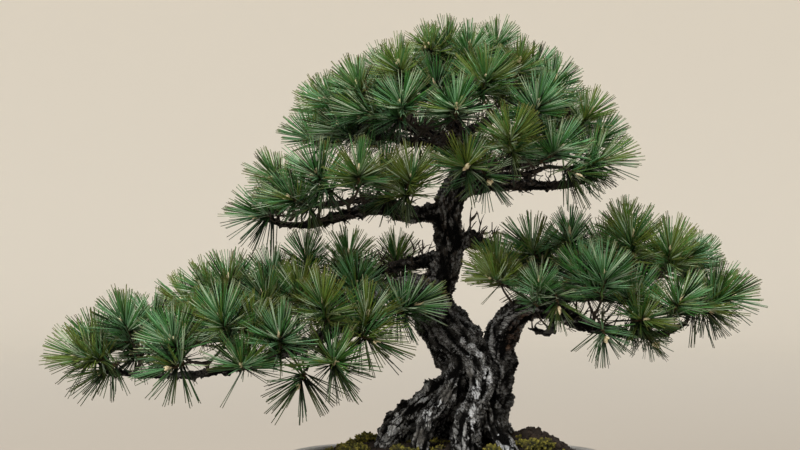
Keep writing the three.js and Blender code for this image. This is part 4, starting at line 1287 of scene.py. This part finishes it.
# Radius and height in millimetres, from under the floor round to inside it, for a pot 430 wide and 95 high
POT_PROFILE = (
    (0, 10), (90, 10), (150, 10), (178, 10.4), (183.5, 12), (186.5, 15.5), (189.5, 24), (194, 38), (199, 54),
    (203.5, 68), (205.6, 76), (207.5, 79.4), (211.5, 81), (214, 83), (215, 85.6), (215, 91), (214.4, 93.4),
    (212.6, 94.7), (209, 95), (204, 95), (201, 94.4), (199.6, 92.6), (198.2, 88), (192, 72), (184, 49),
    (176.6, 28), (174.6, 24.4), (170, 23), (120, 23), (60, 23), (0, 23),
)
POT_SHARP = 38  # degrees past which an edge of the pot stays sharp
FOOT = (0.054, 0.030, 0.0135)  # width, depth and height of a foot
FOOT_OUT = (0.118, 0.084)  # how far from the pot's middle the feet stand
FOOT_BEVEL = 0.006
DRILL_RADIUS, DRILL_DEPTH, DRILL_HEIGHT = 0.012, 0.06, 0.02
DRILL_OUT = 0.085  # how far from the pot's middle the drain holes are


class BONSAI_OT_pot(bpy.types.Operator):
    """Shapes the stoneware pot, with its rolled lip, feet and drain holes"""

    bl_idname = "bonsai.pot"
    bl_label = "Shape the pot"

    def execute(self, context):
        sizes = context.scene.bonsai_pot
        low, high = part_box("pot")
        middle, half = (low + high) / 2, (high - low) / 2
        mesh = bmesh.new()
        rings = []
        for radius, z in POT_PROFILE:
            if radius == 0:
                rings.append([mesh.verts.new((0, 0, z / 1000))] * sizes.segments)
                continue
            ring = pot_ring(half, sizes.squareness, sizes.segments, radius / 1000, z / 1000)
            rings.append([mesh.verts.new(point) for point in ring])
        for lower, upper in zip(rings, rings[1:]):
            for k in range(sizes.segments):
                j = (k + 1) % sizes.segments
                corners = list(dict.fromkeys((lower[k], lower[j], upper[j], upper[k])))
                mesh.faces.new(corners)
        bmesh.ops.recalc_face_normals(mesh, faces=mesh.faces)
        bmesh.ops.translate(mesh, verts=mesh.verts, vec=(middle.x, middle.y, 0))
        pot = object_of("pot_shell", mesh)
        cutters = [self.foot(middle, x, y) for x in (-1, 1) for y in (-1, 1)]
        drills = [self.drill(middle, side) for side in (-1, 1)]
        for tool, operation in [(c, "UNION") for c in cutters] + [(d, "DIFFERENCE") for d in drills]:
            joined = pot.modifiers.new("cut", "BOOLEAN")
            joined.object, joined.operation, joined.solver = tool, operation, "EXACT"
        pot = settle(pot, "pot_stoneware")
        for tool in cutters + drills:
            bpy.data.objects.remove(tool)
        finish_piece(pot, pot_material(sizes), ["pot"])
        pot.data.set_sharp_from_angle(angle=math.radians(POT_SHARP))
        return {"FINISHED"}

    @staticmethod
    def foot(middle, x, y):
        """A bracket foot, softened along its edges."""
        mesh = bmesh.new()
        bmesh.ops.create_cube(mesh, size=1.0)
        bmesh.ops.scale(mesh, vec=FOOT, verts=mesh.verts)
        upright = [e for e in mesh.edges if abs((e.verts[0].co - e.verts[1].co).z) > 0.005]
        bmesh.ops.bevel(mesh, geom=upright, offset=FOOT_BEVEL, segments=4, affect="EDGES", profile=0.5)
        place = (middle.x + x * FOOT_OUT[0], middle.y + y * FOOT_OUT[1], FOOT[2] / 2)
        bmesh.ops.translate(mesh, verts=mesh.verts, vec=place)
        return object_of("foot_tool", mesh)

    @staticmethod
    def drill(middle, side):
        """A rod that cuts one drain hole."""
        mesh = bmesh.new()
        bmesh.ops.create_cone(
            mesh, cap_ends=True, segments=40, radius1=DRILL_RADIUS, radius2=DRILL_RADIUS, depth=DRILL_DEPTH
        )
        place = (middle.x + side * DRILL_OUT, middle.y, DRILL_HEIGHT)
        bmesh.ops.translate(mesh, verts=mesh.verts, vec=place)
        return object_of("drill_tool", mesh)


class BONSAI_OT_screens(bpy.types.Operator):
    """Gives the drainage screens their moulded finish"""

    bl_idname = "bonsai.screens"
    bl_label = "Finish the screens"

    def execute(self, context):
        material = screen_material()
        for node in ("drain_screen_left", "drain_screen_right"):
            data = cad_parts[node].data
            data.materials.clear()
            data.materials.append(material)
        return {"FINISHED"}


LOOK = (-0.03, 0.0, 0.38)  # what the lamps point at, from the pot's middle
EYE = (-0.061, -2.2, 0.397)  # where the camera stands, from the pot's middle
FOCAL_LENGTH, SENSOR_WIDTH = 76.15, 36.0
AIR = (1.0, 0.975, 0.94, 1.0)  # colour of the light from all round
# Name, width, place from the pot's middle and colour of each lamp
LAMPS = (
    ("key", 1.9, (-1.5, -1.9, 2.1), (1.0, 0.985, 0.96)),
    ("fill", 1.8, (2.0, -1.7, 1.2), (0.95, 0.975, 1.0)),
    ("top", 1.4, (0.1, 0.2, 2.5), (1.0, 1.0, 1.0)),
)
SWEEP_FROM = 3.4  # radius where the floor starts to rise
SWEEP_BEND = 1.6  # radius of its bend
SWEEP_TOP = 4.5  # height of the wall behind it
SWEEP_SIDES = 64


class BONSAI_OT_stage(bpy.types.Operator):
    """Sets the backdrop, the lights and the camera"""

    bl_idname = "bonsai.stage"
    bl_label = "Light the studio"

    def execute(self, context):
        sizes = context.scene.bonsai_studio
        pot = pot_middle()
        self.backdrop(sizes, pot)
        for name, width, place, tint in LAMPS:
            self.light(name, getattr(sizes, name), width, pot + Vector(place), pot + Vector(LOOK), tint)
        world = bpy.data.worlds.new("studio_air")
        world.use_nodes = True
        air = world.node_tree.nodes["Background"]
        air.inputs["Color"].default_value = AIR
        air.inputs["Strength"].default_value = sizes.ambient
        context.scene.world = world
        lens = bpy.data.cameras.new("camera")
        lens.lens, lens.sensor_width, lens.sensor_fit = FOCAL_LENGTH, SENSOR_WIDTH, "HORIZONTAL"
        lens.clip_end = 60.0
        camera = new_object("camera", lens)
        camera.location = pot + Vector(EYE)
        camera.rotation_euler = (math.pi / 2, 0.0, 0.0)
        context.scene.camera = camera
        context.scene.view_settings.view_transform = "Standard"
        return {"FINISHED"}

    @staticmethod
    def light(name, energy, width, place, look, tint):
        data = bpy.data.lights.new(name, "AREA")
        data.energy, data.size, data.color, data.shape = energy, width, tint, "DISK"
        lamp = new_object(name, data)
        lamp.location = place
        lamp.rotation_euler = (look - place).to_track_quat("-Z", "Y").to_euler()

    @staticmethod
    def backdrop(sizes, pot):
        """A round pale floor that sweeps up into a wall on every side, with painted shade that darkens the
        paper near the pot.
        """
        mesh = bmesh.new()
        profile = [(0.0, 0.0), (1.0, 0.0), (SWEEP_FROM, 0.0)]
        for angle in np.linspace(0.1, math.pi / 2, 12):
            rise = SWEEP_BEND - SWEEP_BEND * math.cos(angle)
            profile.append((SWEEP_FROM + SWEEP_BEND * math.sin(angle), rise))
        profile.append((SWEEP_FROM + SWEEP_BEND, SWEEP_TOP))
        rings = []
        for radius, z in profile:
            if radius == 0:
                rings.append([mesh.verts.new((pot.x, pot.y, z))] * SWEEP_SIDES)
                continue
            rings.append([
                mesh.verts.new((pot.x + radius * math.cos(t), pot.y + radius * math.sin(t), z))
                for t in np.linspace(0, 2 * math.pi, SWEEP_SIDES, endpoint=False)
            ])
        for inner, outer in zip(rings, rings[1:]):
            for k in range(SWEEP_SIDES):
                j = (k + 1) % SWEEP_SIDES
                mesh.faces.new(list(dict.fromkeys((inner[k], outer[k], outer[j], inner[j]))))
        sweep = object_of("backdrop", mesh)
        sweep.data.polygons.foreach_set("use_smooth", [True] * len(sweep.data.polygons))
        material, graph, shader, at = new_material("pale_paper")
        reach = graph.vector_maths("LENGTH", (at - tuple(pot)) * (1.0, 1.0, 0.0), out="Value")
        # painted shade: the paper is darker near the pot and pales towards the wall
        tint = graph.mix(graph.smooth(reach, 0.6, 4.6), sizes.floor, sizes.paper)
        paint(
            graph, shader, Base_Color=tint, Roughness=0.95, Emission_Color=sizes.glow, Emission_Strength=1.0
        )
        sweep.data.materials.append(material)


OPERATORS = (
    BONSAI_OT_wood,
    BONSAI_OT_twigs,
    BONSAI_OT_needles,
    BONSAI_OT_ground,
    BONSAI_OT_pot,
    BONSAI_OT_screens,
    BONSAI_OT_stage,
)


class BONSAI_PT_panel(bpy.types.Panel):
    """Buttons and sizes of the bonsai"""

    bl_label = "Bonsai"
    bl_idname = "BONSAI_PT_panel"
    bl_space_type = "VIEW_3D"
    bl_region_type = "UI"
    bl_category = "Bonsai"

    def draw(self, context):
        for operator in OPERATORS:
            self.layout.operator(operator.bl_idname)
        for name, group in GROUPS.items():
            box = self.layout.box()
            for prop in group.__annotations__:
                box.prop(getattr(context.scene, name), prop)


def register():
    for kind in (*GROUPS.values(), *OPERATORS, BONSAI_PT_panel):
        bpy.utils.register_class(kind)
    for name, group in GROUPS.items():
        setattr(bpy.types.Scene, name, PointerProperty(type=group))


def unregister():
    for name in GROUPS:
        delattr(bpy.types.Scene, name)
    for kind in reversed((*GROUPS.values(), *OPERATORS, BONSAI_PT_panel)):
        bpy.utils.unregister_class(kind)


def main():
    register()
    for operator in OPERATORS:
        getattr(bpy.ops.bonsai, operator.bl_idname.split(".")[1])()


if __name__ == "__main__":
    main()
